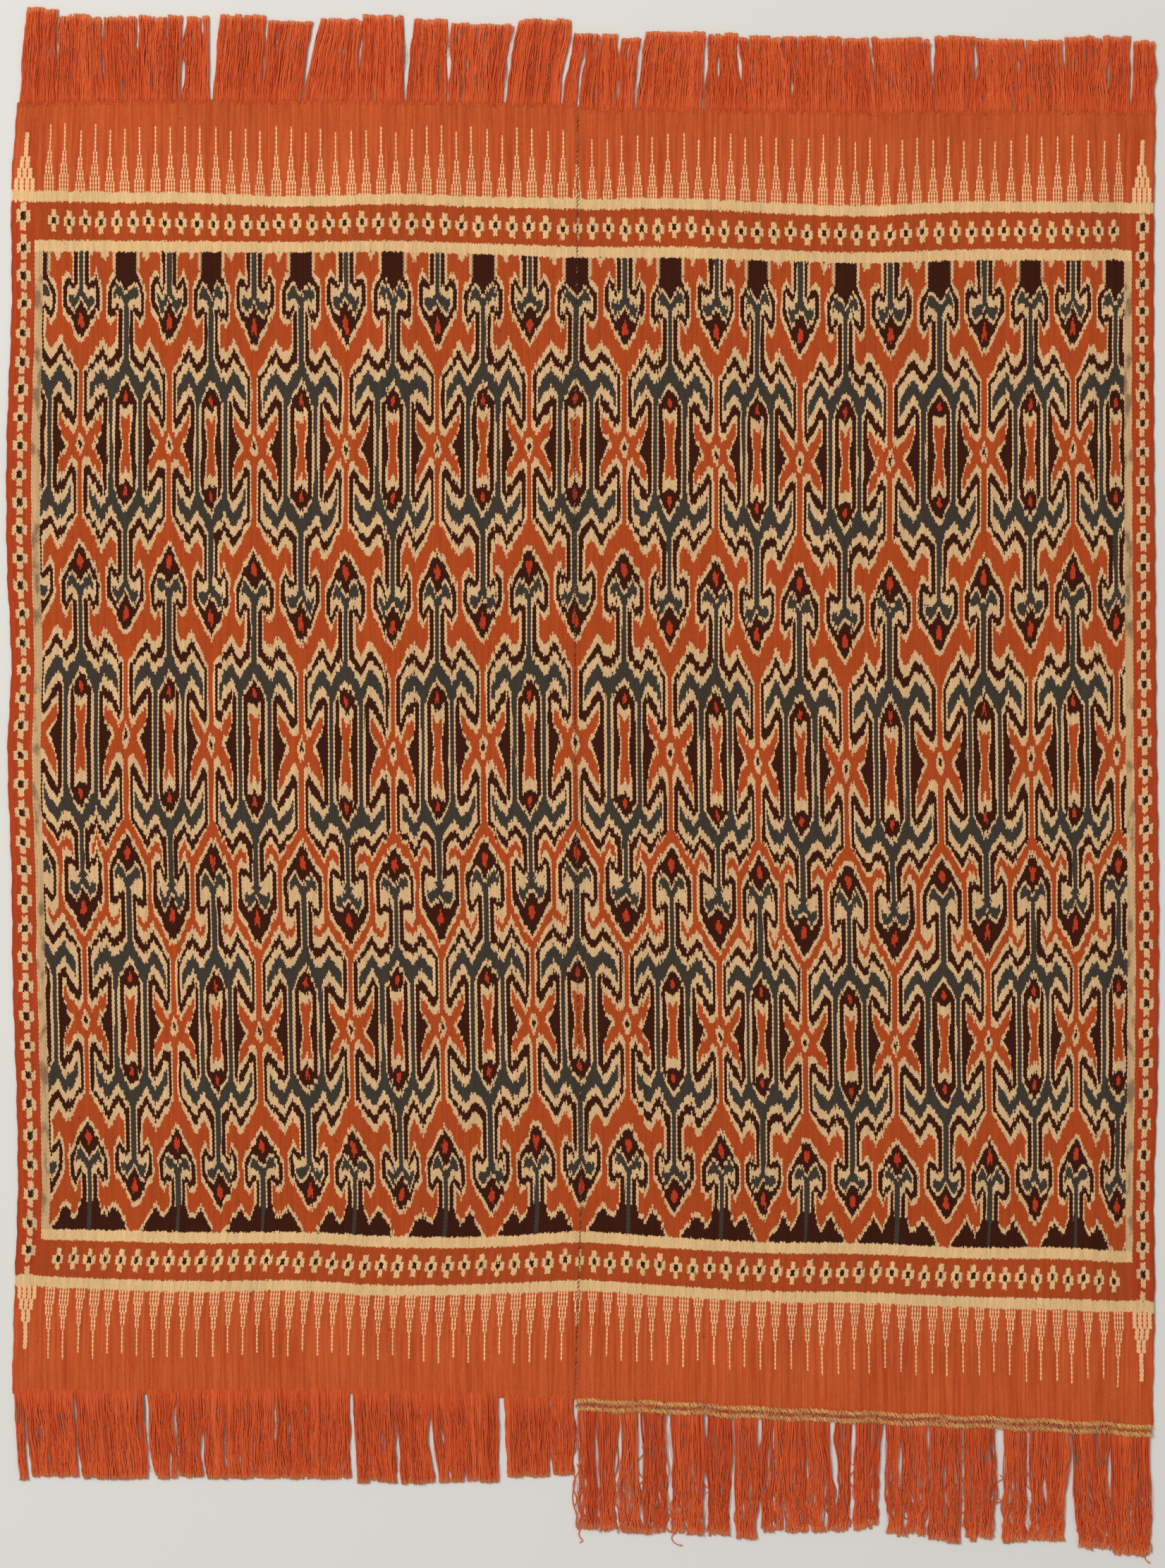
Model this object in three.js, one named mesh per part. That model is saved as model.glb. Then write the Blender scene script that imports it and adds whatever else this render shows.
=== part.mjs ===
import * as THREE from 'three';

// A warp ikat cloth of two loom-width panels, laid flat with its face up.
// Millimetres. +X runs across the panels, +Y along the warp towards the short fringes, +Z up.
// The origin is on the surface it lies on, under the middle of the whole cloth.

// Driving sizes
const CLOTH_THICKNESS = 1.4;
const COCKLE_HEIGHT = 0.8;
const COCKLE_SPAN_ACROSS = 118;
const COCKLE_SPAN_ALONG = 164;
const PANEL_COLUMNS = 10;
const PANEL_ROWS = 22;
const PIECE_GAP = 0.3;
const BACKING_WIDTH = 2.6;
const LOCK_PITCH = 7.2;
const LOCK_FILL = 0.76;
const LOCK_THICKNESS = 1.3;
const LOCK_TIP_THICKNESS = 0.9;
const TWINING_WIDTH = 7;
const TWINING_HEIGHT = 2.8;
const TWINING_EDGE_HEIGHT = 1.3;
const TWINING_STEPS = 64;
const TWIST_SWELL = 0.35;

// How the long edges wander, at stations along the warp
const SELVEDGES = [
  { y: 600, left: -496.6, seam: -4.3, right: 504.1 },
  { y: 539, left: -501.6, seam: -4.3, right: 502.8 },
  { y: 415, left: -502.2, seam: -5.3, right: 502.2 },
  { y: 291, left: -506.5, seam: -6.8, right: 502.5 },
  { y: 192, left: -506.2, seam: -6.8, right: 503.4 },
  { y: 92, left: -502.5, seam: -6.5, right: 504.1 },
  { y: 43, left: -505.3, seam: -6.5, right: 504.7 },
  { y: -81, left: -502.2, seam: -5, right: 506.5 },
  { y: -180, left: -501, seam: -4.3, right: 506.5 },
  { y: -280, left: -497.6, seam: -1.9, right: 505.3 },
  { y: -354, left: -496.6, seam: -1.2, right: 502.5 },
  { y: -453, left: -499.7, seam: -4, right: 503.1 },
  { y: -543, left: -501.6, seam: -6.2, right: 501.5 },
  { y: -571, left: -501.6, seam: -6.2, right: 501.5 },
];

// Where the weaving starts and stops, at stations across the two panels
const LEFT_ENDS = [
  { x: -502, top: 597.7, bottom: -538.2 },
  { x: -388, top: 599.5, bottom: -538.8 },
  { x: -264, top: 600.2, bottom: -536.9 },
  { x: -140, top: 599.5, bottom: -539.4 },
  { x: -4, top: 596.4, bottom: -543.1 },
];
const RIGHT_ENDS = [
  { x: -6, top: 592.7, bottom: -543.7 },
  { x: 77, top: 592.3, bottom: -546.2 },
  { x: 170, top: 591, bottom: -551.8 },
  { x: 232, top: 589.6, bottom: -553.7 },
  { x: 356, top: 590.9, bottom: -559.9 },
  { x: 418, top: 590.6, bottom: -562.3 },
  { x: 505, top: 590.2, bottom: -566.7 },
];

// Bunches of fringe: where each leaves the weave, and where its tips lie
const TOP_LEFT_BUNCHES = [
  { from: -495, to: -463, tipFrom: -488, tipTo: -462, reach: 682 },
  { from: -463, to: -421, tipFrom: -460, tipTo: -424, reach: 676 },
  { from: -421, to: -391, tipFrom: -422, tipTo: -393, reach: 674.5 },
  { from: -391, to: -354, tipFrom: -391, tipTo: -351, reach: 675 },
  { from: -352, to: -328, tipFrom: -348, tipTo: -329, reach: 674.5 },
  { from: -325, to: -283, tipFrom: -319, tipTo: -278, reach: 676 },
  { from: -283, to: -248, tipFrom: -276, tipTo: -237, reach: 671 },
  { from: -246, to: -197, tipFrom: -230, tipTo: -194, reach: 672 },
  { from: -197, to: -157, tipFrom: -193, tipTo: -157, reach: 675.5 },
  { from: -155, to: -120, tipFrom: -148, tipTo: -119, reach: 672 },
  { from: -118, to: -70, tipFrom: -116, tipTo: -62, reach: 668 },
  { from: -68, to: -20, tipFrom: -57, tipTo: -10, reach: 672 },
  { from: -18, to: -5.5, tipFrom: -6.5, tipTo: 2, reach: 659 },
];
const TOP_RIGHT_BUNCHES = [
  { from: -3.5, to: 30, tipFrom: 4, tipTo: 31, reach: 659 },
  { from: 30, to: 45, tipFrom: 33, tipTo: 51, reach: 656 },
  { from: 47, to: 104, tipFrom: 55, tipTo: 108, reach: 661 },
  { from: 106, to: 138, tipFrom: 111, tipTo: 136, reach: 659.5 },
  { from: 138, to: 184, tipFrom: 138, tipTo: 182, reach: 657 },
  { from: 184, to: 227, tipFrom: 183, tipTo: 228, reach: 656.5 },
  { from: 227, to: 259, tipFrom: 229, tipTo: 251, reach: 656 },
  { from: 259, to: 307, tipFrom: 253, tipTo: 306, reach: 656 },
  { from: 308, to: 345, tipFrom: 309, tipTo: 344, reach: 657 },
  { from: 345, to: 385, tipFrom: 346, tipTo: 380, reach: 654.5 },
  { from: 385, to: 424, tipFrom: 382, tipTo: 422, reach: 653.5 },
  { from: 424, to: 481, tipFrom: 424, tipTo: 482, reach: 657 },
  { from: 482, to: 503, tipFrom: 485, tipTo: 504, reach: 653 },
];
const BOTTOM_LEFT_BUNCHES = [
  { from: -500, to: -492, tipFrom: -496, tipTo: -487, reach: -615 },
  { from: -492, to: -448, tipFrom: -484, tipTo: -443, reach: -612 },
  { from: -447, to: -386, tipFrom: -440, tipTo: -381, reach: -614 },
  { from: -383, to: -358, tipFrom: -377, tipTo: -358, reach: -614 },
  { from: -357, to: -336, tipFrom: -356, tipTo: -334, reach: -613 },
  { from: -335, to: -271, tipFrom: -331, tipTo: -271, reach: -614 },
  { from: -270, to: -205, tipFrom: -270, tipTo: -204, reach: -614 },
  { from: -202, to: -166, tipFrom: -198, tipTo: -163, reach: -617.5 },
  { from: -165, to: -135, tipFrom: -159, tipTo: -132, reach: -618.5 },
  { from: -134, to: -74, tipFrom: -127, tipTo: -73, reach: -617 },
  { from: -69, to: -30, tipFrom: -66, tipTo: -28, reach: -612.5 },
  { from: -29, to: -8, tipFrom: -27, tipTo: -7, reach: -611 },
];
const BOTTOM_RIGHT_BUNCHES = [
  { from: -4.5, to: 11.5, tipFrom: -4.5, tipTo: 14, reach: -659 },
  { from: 12.5, to: 31, tipFrom: 16, tipTo: 28, reach: -661 },
  { from: 32, to: 47.5, tipFrom: 33, tipTo: 52, reach: -662 },
  { from: 51, to: 73.5, tipFrom: 54, tipTo: 75, reach: -663 },
  { from: 77, to: 107, tipFrom: 78.5, tipTo: 107, reach: -664 },
  { from: 110, to: 131, tipFrom: 109, tipTo: 130, reach: -665 },
  { from: 133, to: 154, tipFrom: 134, tipTo: 154, reach: -668 },
  { from: 157, to: 217, tipFrom: 156, tipTo: 222, reach: -662 },
  { from: 223, to: 236.5, tipFrom: 223.5, tipTo: 233.5, reach: -661 },
  { from: 240, to: 264, tipFrom: 238, tipTo: 258, reach: -659 },
  { from: 266, to: 304, tipFrom: 267, tipTo: 302, reach: -665 },
  { from: 305, to: 333, tipFrom: 304, tipTo: 333, reach: -671 },
  { from: 335, to: 363, tipFrom: 336, tipTo: 363, reach: -669 },
  { from: 370, to: 391, tipFrom: 370, tipTo: 391, reach: -672 },
  { from: 393, to: 427, tipFrom: 393, tipTo: 424, reach: -669 },
  { from: 428, to: 463, tipFrom: 436, tipTo: 465, reach: -677 },
  { from: 463.5, to: 499.5, tipFrom: 467, tipTo: 499.5, reach: -682 },
];

const ORANGE = '#b9501f';
const PALE_ORANGE = '#cf5f33';
const GOLD = '#bd8a3e';

function fibre(color) {
  return new THREE.MeshStandardMaterial({ color, roughness: 0.9, metalness: 0 });
}

// A value read off a table, straight between its stations
function readAt(table, key, at, column) {
  const rising = table[0][key] < table[table.length - 1][key] ? table : [...table].reverse();
  let next = rising.findIndex((row) => row[key] >= at);
  if (next === -1) {
    next = rising.length - 1;
  }
  next = Math.max(next, 1);
  const low = rising[next - 1];
  const high = rising[next];
  const share = THREE.MathUtils.clamp((at - low[key]) / (high[key] - low[key]), 0, 1);
  return THREE.MathUtils.lerp(low[column], high[column], share);
}

// Small even unevenness between 0 and 1, from a count
function waver(count) {
  return 0.5 + 0.5 * Math.sin(count * 12.9898 + Math.sin(count * 4.1414) * 3);
}

// The soft cockling of old cloth, felt in its upper face
function cockle(x, y) {
  const across = Math.sin((x / COCKLE_SPAN_ACROSS) * Math.PI + Math.sin(y / COCKLE_SPAN_ALONG));
  const along = Math.sin((y / COCKLE_SPAN_ALONG) * Math.PI + x / COCKLE_SPAN_ACROSS);
  return COCKLE_HEIGHT * 0.25 * (2 + across + along);
}

// A closed sheet from a grid: its upper face, its flat underside and a wall round its rim
function gridSheet(columns, rows, place) {
  const positions = [];
  const indices = [];
  const layerSize = (columns + 1) * (rows + 1);
  const index = (layer, i, j) => layer * layerSize + j * (columns + 1) + i;
  for (const isTop of [false, true]) {
    for (let j = 0; j <= rows; j += 1) {
      for (let i = 0; i <= columns; i += 1) {
        const [x, y, height] = place(i / columns, j / rows);
        positions.push(x, y, isTop ? height : 0);
      }
    }
  }
  for (let j = 0; j < rows; j += 1) {
    for (let i = 0; i < columns; i += 1) {
      const a = index(1, i, j);
      const b = index(1, i + 1, j);
      const c = index(1, i + 1, j + 1);
      const d = index(1, i, j + 1);
      indices.push(a, b, c, a, c, d);
      indices.push(a - layerSize, c - layerSize, b - layerSize);
      indices.push(a - layerSize, d - layerSize, c - layerSize);
    }
  }
  const rim = [];
  for (let i = 0; i < columns; i += 1) {
    rim.push([i, 0]);
  }
  for (let j = 0; j < rows; j += 1) {
    rim.push([columns, j]);
  }
  for (let i = columns; i > 0; i -= 1) {
    rim.push([i, rows]);
  }
  for (let j = rows; j > 0; j -= 1) {
    rim.push([0, j]);
  }
  rim.forEach((here, step) => {
    const next = rim[(step + 1) % rim.length];
    const low = index(0, ...here);
    const lowNext = index(0, ...next);
    indices.push(low, lowNext, lowNext + layerSize, low, lowNext + layerSize, low + layerSize);
  });
  const geometry = new THREE.BufferGeometry();
  geometry.setAttribute('position', new THREE.Float32BufferAttribute(positions, 3));
  geometry.setIndex(indices);
  geometry.computeVertexNormals();
  return geometry;
}

// Where a point of a loom-width panel lies, between two long edges and its two woven ends
function panelPlace(ends, leftEdge, rightEdge, leftInset, rightInset) {
  return (u, v) => {
    let y = THREE.MathUtils.lerp(ends[0].bottom, ends[0].top, v);
    let x = 0;
    for (let pass = 0; pass < 3; pass += 1) {
      const left = readAt(SELVEDGES, 'y', y, leftEdge) + leftInset;
      const right = readAt(SELVEDGES, 'y', y, rightEdge) - rightInset;
      x = THREE.MathUtils.lerp(left, right, u);
      const bottom = readAt(ends, 'x', x, 'bottom');
      y = THREE.MathUtils.lerp(bottom, readAt(ends, 'x', x, 'top'), v);
    }
    return [x, y, CLOTH_THICKNESS + cockle(x, y)];
  };
}

// The line of a panel's woven end as it is built, for the pieces that follow it
function wovenEnd(place, v) {
  const line = [];
  for (let column = 0; column <= PANEL_COLUMNS; column += 1) {
    const [x, y] = place(column / PANEL_COLUMNS, v);
    line.push({ x, y });
  }
  return (x) => readAt(line, 'x', x, 'y');
}

function panel(name, place) {
  const mesh = new THREE.Mesh(gridSheet(PANEL_COLUMNS, PANEL_ROWS, place), fibre(ORANGE));
  mesh.name = name;
  return mesh;
}

// A fringe: a narrow strip along the woven end, with locks of yarn lying from it
function fringe(name, bunches, edgeAt, outward) {
  const rootAt = (x) => edgeAt(x) + outward * (PIECE_GAP + BACKING_WIDTH);
  const first = bunches[0].from;
  const last = bunches[bunches.length - 1].to;
  const outline = [];
  let count = 0;
  for (const bunch of bunches) {
    const locks = Math.max(1, Math.round((bunch.to - bunch.from) / LOCK_PITCH));
    const rootPitch = (bunch.to - bunch.from) / locks;
    const tipPitch = (bunch.tipTo - bunch.tipFrom) / locks;
    for (let k = 0; k < locks; k += 1) {
      const rootHalf = (rootPitch * LOCK_FILL) / 2;
      const tipHalf = (Math.min(tipPitch, rootPitch) * LOCK_FILL * 0.92) / 2;
      const root = bunch.from + (k + 0.5) * rootPitch;
      const tip = bunch.tipFrom + (k + 0.5) * tipPitch;
      const rootY = rootAt(root);
      const shorter = k === 0 ? 0 : 3 * waver(count);
      const tipY = bunch.reach - outward * shorter;
      const bendY = THREE.MathUtils.lerp(rootY, tipY, 0.5);
      const bend = THREE.MathUtils.lerp(root, tip, 0.42);
      const bendHalf = (rootHalf + tipHalf) / 2;
      outline.push([root - rootHalf, rootAt(root - rootHalf)]);
      outline.push([bend - bendHalf, bendY]);
      outline.push([tip - tipHalf, tipY - outward * 1.2 * waver(count + 7)]);
      outline.push([tip + tipHalf, tipY]);
      outline.push([bend + bendHalf, bendY]);
      outline.push([root + rootHalf, rootAt(root + rootHalf)]);
      count += 1;
    }
  }
  outline.push([last, rootAt(last)]);
  const backSteps = 40;
  for (let step = backSteps; step >= 0; step -= 1) {
    const x = THREE.MathUtils.lerp(first, last, step / backSteps);
    outline.push([x, edgeAt(x) + outward * PIECE_GAP]);
  }
  outline.push([first, rootAt(first)]);
  const shape = new THREE.Shape(outline.map(([x, y]) => new THREE.Vector2(x, y)));
  const geometry = new THREE.ExtrudeGeometry(shape, { depth: 1, bevelEnabled: false });
  const position = geometry.getAttribute('position');
  const longest = 120;
  for (let n = 0; n < position.count; n += 1) {
    if (position.getZ(n) > 0.5) {
      const away = Math.abs(position.getY(n) - edgeAt(position.getX(n)));
      const share = Math.min(1, away / longest);
      position.setZ(n, THREE.MathUtils.lerp(LOCK_THICKNESS, LOCK_TIP_THICKNESS, share));
    }
  }
  geometry.computeVertexNormals();
  const mesh = new THREE.Mesh(geometry, fibre(PALE_ORANGE));
  mesh.name = name;
  return mesh;
}

// The row of gold yarns twined over the ends of the right panel's warps
function twinedRow(upperEdgeAt) {
  const from = readAt(SELVEDGES, 'y', RIGHT_ENDS[0].bottom, 'seam') + PIECE_GAP / 2;
  const to = readAt(SELVEDGES, 'y', RIGHT_ENDS[RIGHT_ENDS.length - 1].bottom, 'right');
  const profile = [
    { along: 0, height: 0 },
    { along: 1, height: 0 },
    { along: 1, height: TWINING_EDGE_HEIGHT },
    { along: 0.72, height: TWINING_HEIGHT },
    { along: 0.28, height: TWINING_HEIGHT },
    { along: 0, height: TWINING_EDGE_HEIGHT },
  ];
  const positions = [];
  const indices = [];
  const sides = profile.length;
  for (let step = 0; step <= TWINING_STEPS; step += 1) {
    const x = THREE.MathUtils.lerp(from, to, step / TWINING_STEPS);
    const upperEdge = upperEdgeAt(x);
    for (const corner of profile) {
      const swell = corner.height === TWINING_HEIGHT ? -TWIST_SWELL * (step % 2) : 0;
      positions.push(x, upperEdge - corner.along * TWINING_WIDTH, corner.height + swell);
    }
  }
  for (let step = 0; step < TWINING_STEPS; step += 1) {
    for (let side = 0; side < sides; side += 1) {
      const a = step * sides + side;
      const b = step * sides + ((side + 1) % sides);
      indices.push(a, b + sides, b, a, a + sides, b + sides);
    }
  }
  const lastRing = TWINING_STEPS * sides;
  for (let side = 1; side < sides - 1; side += 1) {
    indices.push(0, side, side + 1);
    indices.push(lastRing, lastRing + side + 1, lastRing + side);
  }
  const geometry = new THREE.BufferGeometry();
  geometry.setAttribute('position', new THREE.Float32BufferAttribute(positions, 3));
  geometry.setIndex(indices);
  geometry.computeVertexNormals();
  const mesh = new THREE.Mesh(geometry, fibre(GOLD));
  mesh.name = 'twined_row';
  return mesh;
}

const halfGap = PIECE_GAP / 2;
const leftPlace = panelPlace(LEFT_ENDS, 'left', 'seam', 0, halfGap);
const rightPlace = panelPlace(RIGHT_ENDS, 'seam', 'right', halfGap, 0);
const rightBottom = wovenEnd(rightPlace, 0);
const twiningTop = (x) => rightBottom(x) - PIECE_GAP;
const twiningBottom = (x) => twiningTop(x) - TWINING_WIDTH;

const panels = new THREE.Group();
panels.add(panel('left_panel', leftPlace));
panels.add(panel('right_panel', rightPlace));

const trimmings = new THREE.Group();
trimmings.add(fringe('fringe_top_left', TOP_LEFT_BUNCHES, wovenEnd(leftPlace, 1), 1));
trimmings.add(fringe('fringe_top_right', TOP_RIGHT_BUNCHES, wovenEnd(rightPlace, 1), 1));
trimmings.add(fringe('fringe_bottom_left', BOTTOM_LEFT_BUNCHES, wovenEnd(leftPlace, 0), -1));
trimmings.add(twinedRow(twiningTop));
trimmings.add(fringe('fringe_bottom_right', BOTTOM_RIGHT_BUNCHES, twiningBottom, -1));

const cloth = new THREE.Group();
cloth.add(panels, trimmings);

export default cloth;
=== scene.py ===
import bpy
import numpy as np
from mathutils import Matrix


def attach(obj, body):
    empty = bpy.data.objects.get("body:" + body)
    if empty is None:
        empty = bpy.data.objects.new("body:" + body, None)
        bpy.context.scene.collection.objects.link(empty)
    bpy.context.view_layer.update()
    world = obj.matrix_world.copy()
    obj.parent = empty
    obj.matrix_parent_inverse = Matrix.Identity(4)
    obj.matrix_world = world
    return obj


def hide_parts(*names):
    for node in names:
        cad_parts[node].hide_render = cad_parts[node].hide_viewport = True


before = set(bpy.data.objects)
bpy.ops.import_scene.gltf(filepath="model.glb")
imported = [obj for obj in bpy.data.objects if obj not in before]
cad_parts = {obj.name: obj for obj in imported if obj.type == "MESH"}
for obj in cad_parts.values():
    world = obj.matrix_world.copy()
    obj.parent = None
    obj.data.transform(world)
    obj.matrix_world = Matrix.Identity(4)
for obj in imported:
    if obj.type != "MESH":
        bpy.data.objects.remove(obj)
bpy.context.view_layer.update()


# Camera, lamp and floor: the cloth lies face up on a plain pale floor and is seen from straight
# above through a long lens. One large soft lamp stands beyond its upper left corner, and a pale
# sky fills in the shadows.
MM = 0.001
# The picture has 2224 rows, and each of them takes in 0.62 mm of the cloth
VIEW_ROWS = 2224
ROW_SIZE = 0.62
VIEW_HEIGHT = VIEW_ROWS * ROW_SIZE * MM
VIEW_CENTRE_Y = -1.9 * MM
LENS = 85
SENSOR = 36
CLOTH_TOP = 2 * MM
LAMP_SIZE = 2.4
LAMP_POWER = 199
LAMP_COLOUR = (1, 0.97, 0.93)
LAMP_PLACE = (-2.9, 1.9, 4.6)
SKY_COLOUR = (0.97, 0.98, 1, 1)
SKY_STRENGTH = 0.5
FLOOR_SIZE = 14
FLOOR_DROP = 0.2 * MM
FLOOR_COLOUR = (224, 222, 217)

scene = bpy.context.scene
scene.view_settings.view_transform = "Standard"

camera_data = bpy.data.cameras.new("camera")
camera_data.lens = LENS
camera_data.sensor_width = SENSOR
camera = bpy.data.objects.new("camera", camera_data)
camera.location = (0, VIEW_CENTRE_Y, CLOTH_TOP + VIEW_HEIGHT * LENS / SENSOR)
scene.collection.objects.link(camera)
scene.camera = camera

lamp_data = bpy.data.lights.new("soft_lamp", "AREA")
lamp_data.shape = "DISK"
lamp_data.size = LAMP_SIZE
lamp_data.energy = LAMP_POWER
lamp_data.color = LAMP_COLOUR
lamp = bpy.data.objects.new("soft_lamp", lamp_data)
lamp.location = LAMP_PLACE
lamp.rotation_mode = "QUATERNION"
lamp.rotation_quaternion = lamp.location.to_track_quat("Z", "Y")
scene.collection.objects.link(lamp)

sky = bpy.data.worlds.new("pale_sky")
sky.use_nodes = True
sky.node_tree.nodes["Background"].inputs["Color"].default_value = SKY_COLOUR
sky.node_tree.nodes["Background"].inputs["Strength"].default_value = SKY_STRENGTH
scene.world = sky


def tone_of(red, green, blue):
    """A colour given from 0 to 255 a channel, as the shader wants it."""
    parts = np.array([red, green, blue]) / 255
    linear = np.where(parts <= 0.04045, parts / 12.92, ((parts + 0.055) / 1.055) ** 2.4)
    return (*linear.tolist(), 1)


def new_material(name, colour, roughness):
    material = bpy.data.materials.new(name)
    material.use_nodes = True
    surface = material.node_tree.nodes["Principled BSDF"]
    surface.inputs["Base Color"].default_value = tone_of(*colour)
    surface.inputs["Roughness"].default_value = roughness
    return material, surface


floor_mesh = bpy.data.meshes.new("floor")
half = FLOOR_SIZE / 2
floor_mesh.from_pydata(
    [
        (-half, -half, -FLOOR_DROP),
        (half, -half, -FLOOR_DROP),
        (half, half, -FLOOR_DROP),
        (-half, half, -FLOOR_DROP),
    ],
    [],
    [(0, 1, 2, 3)],
)
floor = bpy.data.objects.new("floor", floor_mesh)
floor_mesh.materials.append(new_material("floor_paint", FLOOR_COLOUR, 0.9)[0])
scene.collection.objects.link(floor)


# The two panels: each is one loom width of warp-faced handspun cotton. The warps were tied in
# bunches and dyed before weaving, so the pattern runs on each thread and its edges are combed.
# A fold down the middle of each width and the pull of the weft leave them a little uneven.
THREAD = 1.18
PICK = 1.9
CLOTH_THICKNESS = 1.3
COCKLE_HEIGHT = 0.8
COCKLE_SPAN_ACROSS = 118
COCKLE_SPAN_ALONG = 164
FOLDS = (-247, 232)
FOLD_WIDTH = 3
FOLD_HEIGHT = 0.35
SEAM_GAP = 0.12
EDGE_PULL = 45
PANEL_LENGTH = 1139.7
PANEL_MIDDLE = 574.35
LEFT_FIRST_X = -501.9
RIGHT_FIRST_X = -6.8

# How the long edges wander: y, left selvedge, seam, right selvedge
EDGES = np.array([
    (-571, -501.6, -6.2, 501.5), (-543, -501.6, -6.2, 501.5), (-453, -499.7, -4, 503.1),
    (-354, -496.6, -1.2, 502.5), (-280, -497.6, -1.9, 505.3), (-180, -501, -4.3, 506.5),
    (-81, -502.2, -5, 506.5), (43, -505.3, -6.5, 504.7), (92, -502.5, -6.5, 504.1),
    (192, -506.2, -6.8, 503.4), (291, -506.5, -6.8, 502.5), (415, -502.2, -5.3, 502.2),
    (539, -501.6, -4.3, 502.8), (600, -496.6, -4.3, 504.1),
])

# Weft lines: how far up the weaving each one is, then the pixel rows of the photo that it was read
# at, in seven pixel columns across a panel. The frame's origin is at the pixel named here.
WEFT_HEIGHTS = np.array([0, 90.5, 142.3, 324.9, 572.9, 835.2, 1006.3, 1058.2, PANEL_LENGTH])
ORIGIN_COLUMN = 826
ORIGIN_ROW = 1109
LEFT_WEFT_COLUMNS = (20, 150, 285, 420, 550, 685, 816)
LEFT_WEFT_ROWS = [
    (1977, 1978, 1977, 1975, 1978, 1982, 1985),
    (1823, 1829, 1832, 1831, 1838, 1836, 1831),
    (1742, 1745, 1748, 1748, 1754, 1754, 1746),
    (1440, 1450, 1461, 1459, 1457, 1453, 1450),
    (1040, 1044, 1048, 1056, 1062, 1056, 1054),
    (629, 630, 632, 636, 635, 637, 638),
    (357, 357, 358, 358, 357, 361, 366),
    (270, 272, 274, 278.5, 275, 279, 281),
    (145, 142, 141, 141, 142, 144, 147),
]
RIGHT_WEFT_COLUMNS = (816, 950, 1085, 1215, 1350, 1485, 1637)
RIGHT_WEFT_ROWS = [
    (1986, 1990, 1998, 2003, 2009, 2015, 2023),
    (1830, 1839, 1847, 1848, 1854, 1858, 1862),
    (1746, 1755, 1762, 1763, 1769, 1770, 1777),
    (1450, 1461, 1473, 1478, 1476, 1472, 1465),
    (1056, 1065, 1076, 1084, 1077, 1072, 1062),
    (637, 639, 650, 652, 643, 640, 638),
    (366, 366, 369.5, 373.5, 370, 369, 370),
    (283, 281, 287, 292, 286.5, 286, 288),
    (153, 153.5, 155, 158, 156.5, 156, 157),
]


def read_off(columns, weft_rows):
    """Stations in whole millimetres and wefts in tenths, from pixels of the photo."""
    stations = [round((column - ORIGIN_COLUMN) * ROW_SIZE) for column in columns]
    wefts = [[round((ORIGIN_ROW - row) * ROW_SIZE, 1) for row in rows] for rows in weft_rows]
    return np.array(stations), np.array(wefts)


LEFT_STATIONS, LEFT_WEFTS = read_off(LEFT_WEFT_COLUMNS, LEFT_WEFT_ROWS)
RIGHT_STATIONS, RIGHT_WEFTS = read_off(RIGHT_WEFT_COLUMNS, RIGHT_WEFT_ROWS)

# How far the columns lean aside where the cloth was pulled out of square: y, left and right panel
LEANS = np.array([
    (-600, 0, 0), (-450, 0, 0), (-385, 8.5, 5), (-320, 7.5, 5), (-227, 5.5, 3.5), (-133, 4, 2.5),
    (-39, 1.5, 0.5), (55, 0.8, -1), (330, 0.8, -1), (600, 0.8, 0),
])
# How far the rows sag in the middle of a panel
SAG = 5.5

# Columns of the pattern, half a repeat apart: how far in from the outer selvedge each one is
LEFT_COLUMNS = np.array([22, 60.8, 100.1, 138, 174.5, 212.4, 253.9, 293, 334.5, 373.6, 413.9, 454.8, 495.7])
RIGHT_COLUMNS = np.array([35, 72.9, 110, 151, 190, 233.4, 272.8, 312.8, 350.6, 386.6, 427.8, 467.8, 511.8])
COLUMN_PITCH = 41
# Rows of the pattern, counted down the cloth from above the top of the field
ROW_HEIGHTS = np.array([142.3, 328, 452, 575, 708.5, 838.5, 968, 1006.3])
ROW_COUNTS = np.array([3.74, 3, 2.5, 2, 1.5, 1, 0.5, 0.34])
ROW_PITCH = 258


def smooth(stations, values, at):
    """An even curve through the values at the stations; values may have several columns."""
    slopes = np.gradient(values, stations, axis=0)
    low = np.clip(np.searchsorted(stations, at) - 1, 0, len(stations) - 2)
    step = stations[low + 1] - stations[low]
    share = (at - stations[low]) / step
    if values.ndim == 2:
        step = step[:, None]
        share = share[:, None]
    square = share * share
    cube = square * share
    return (
        (2 * cube - 3 * square + 1) * values[low]
        + (cube - 2 * square + share) * step * slopes[low]
        + (3 * square - 2 * cube) * values[low + 1]
        + (cube - square) * step * slopes[low + 1]
    )


edge_ys = np.linspace(-571, 600, 600)
edge_lines = smooth(EDGES[:, 0], EDGES[:, 1:], edge_ys)
lean_lines = smooth(LEANS[:, 0], LEANS[:, 1:], edge_ys)
# The outer selvedges ripple where the weft turns: which edge, height, span and start
RIPPLES = [(0, 0.35, 7.3, 0), (0, 0.3, 2.9, 0), (2, 0.35, 6.4, 1), (2, 0.3, 3.1, 0)]
for edge, height, span, start in RIPPLES:
    edge_lines[:, edge] += height * np.sin(edge_ys / span + start)


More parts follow.
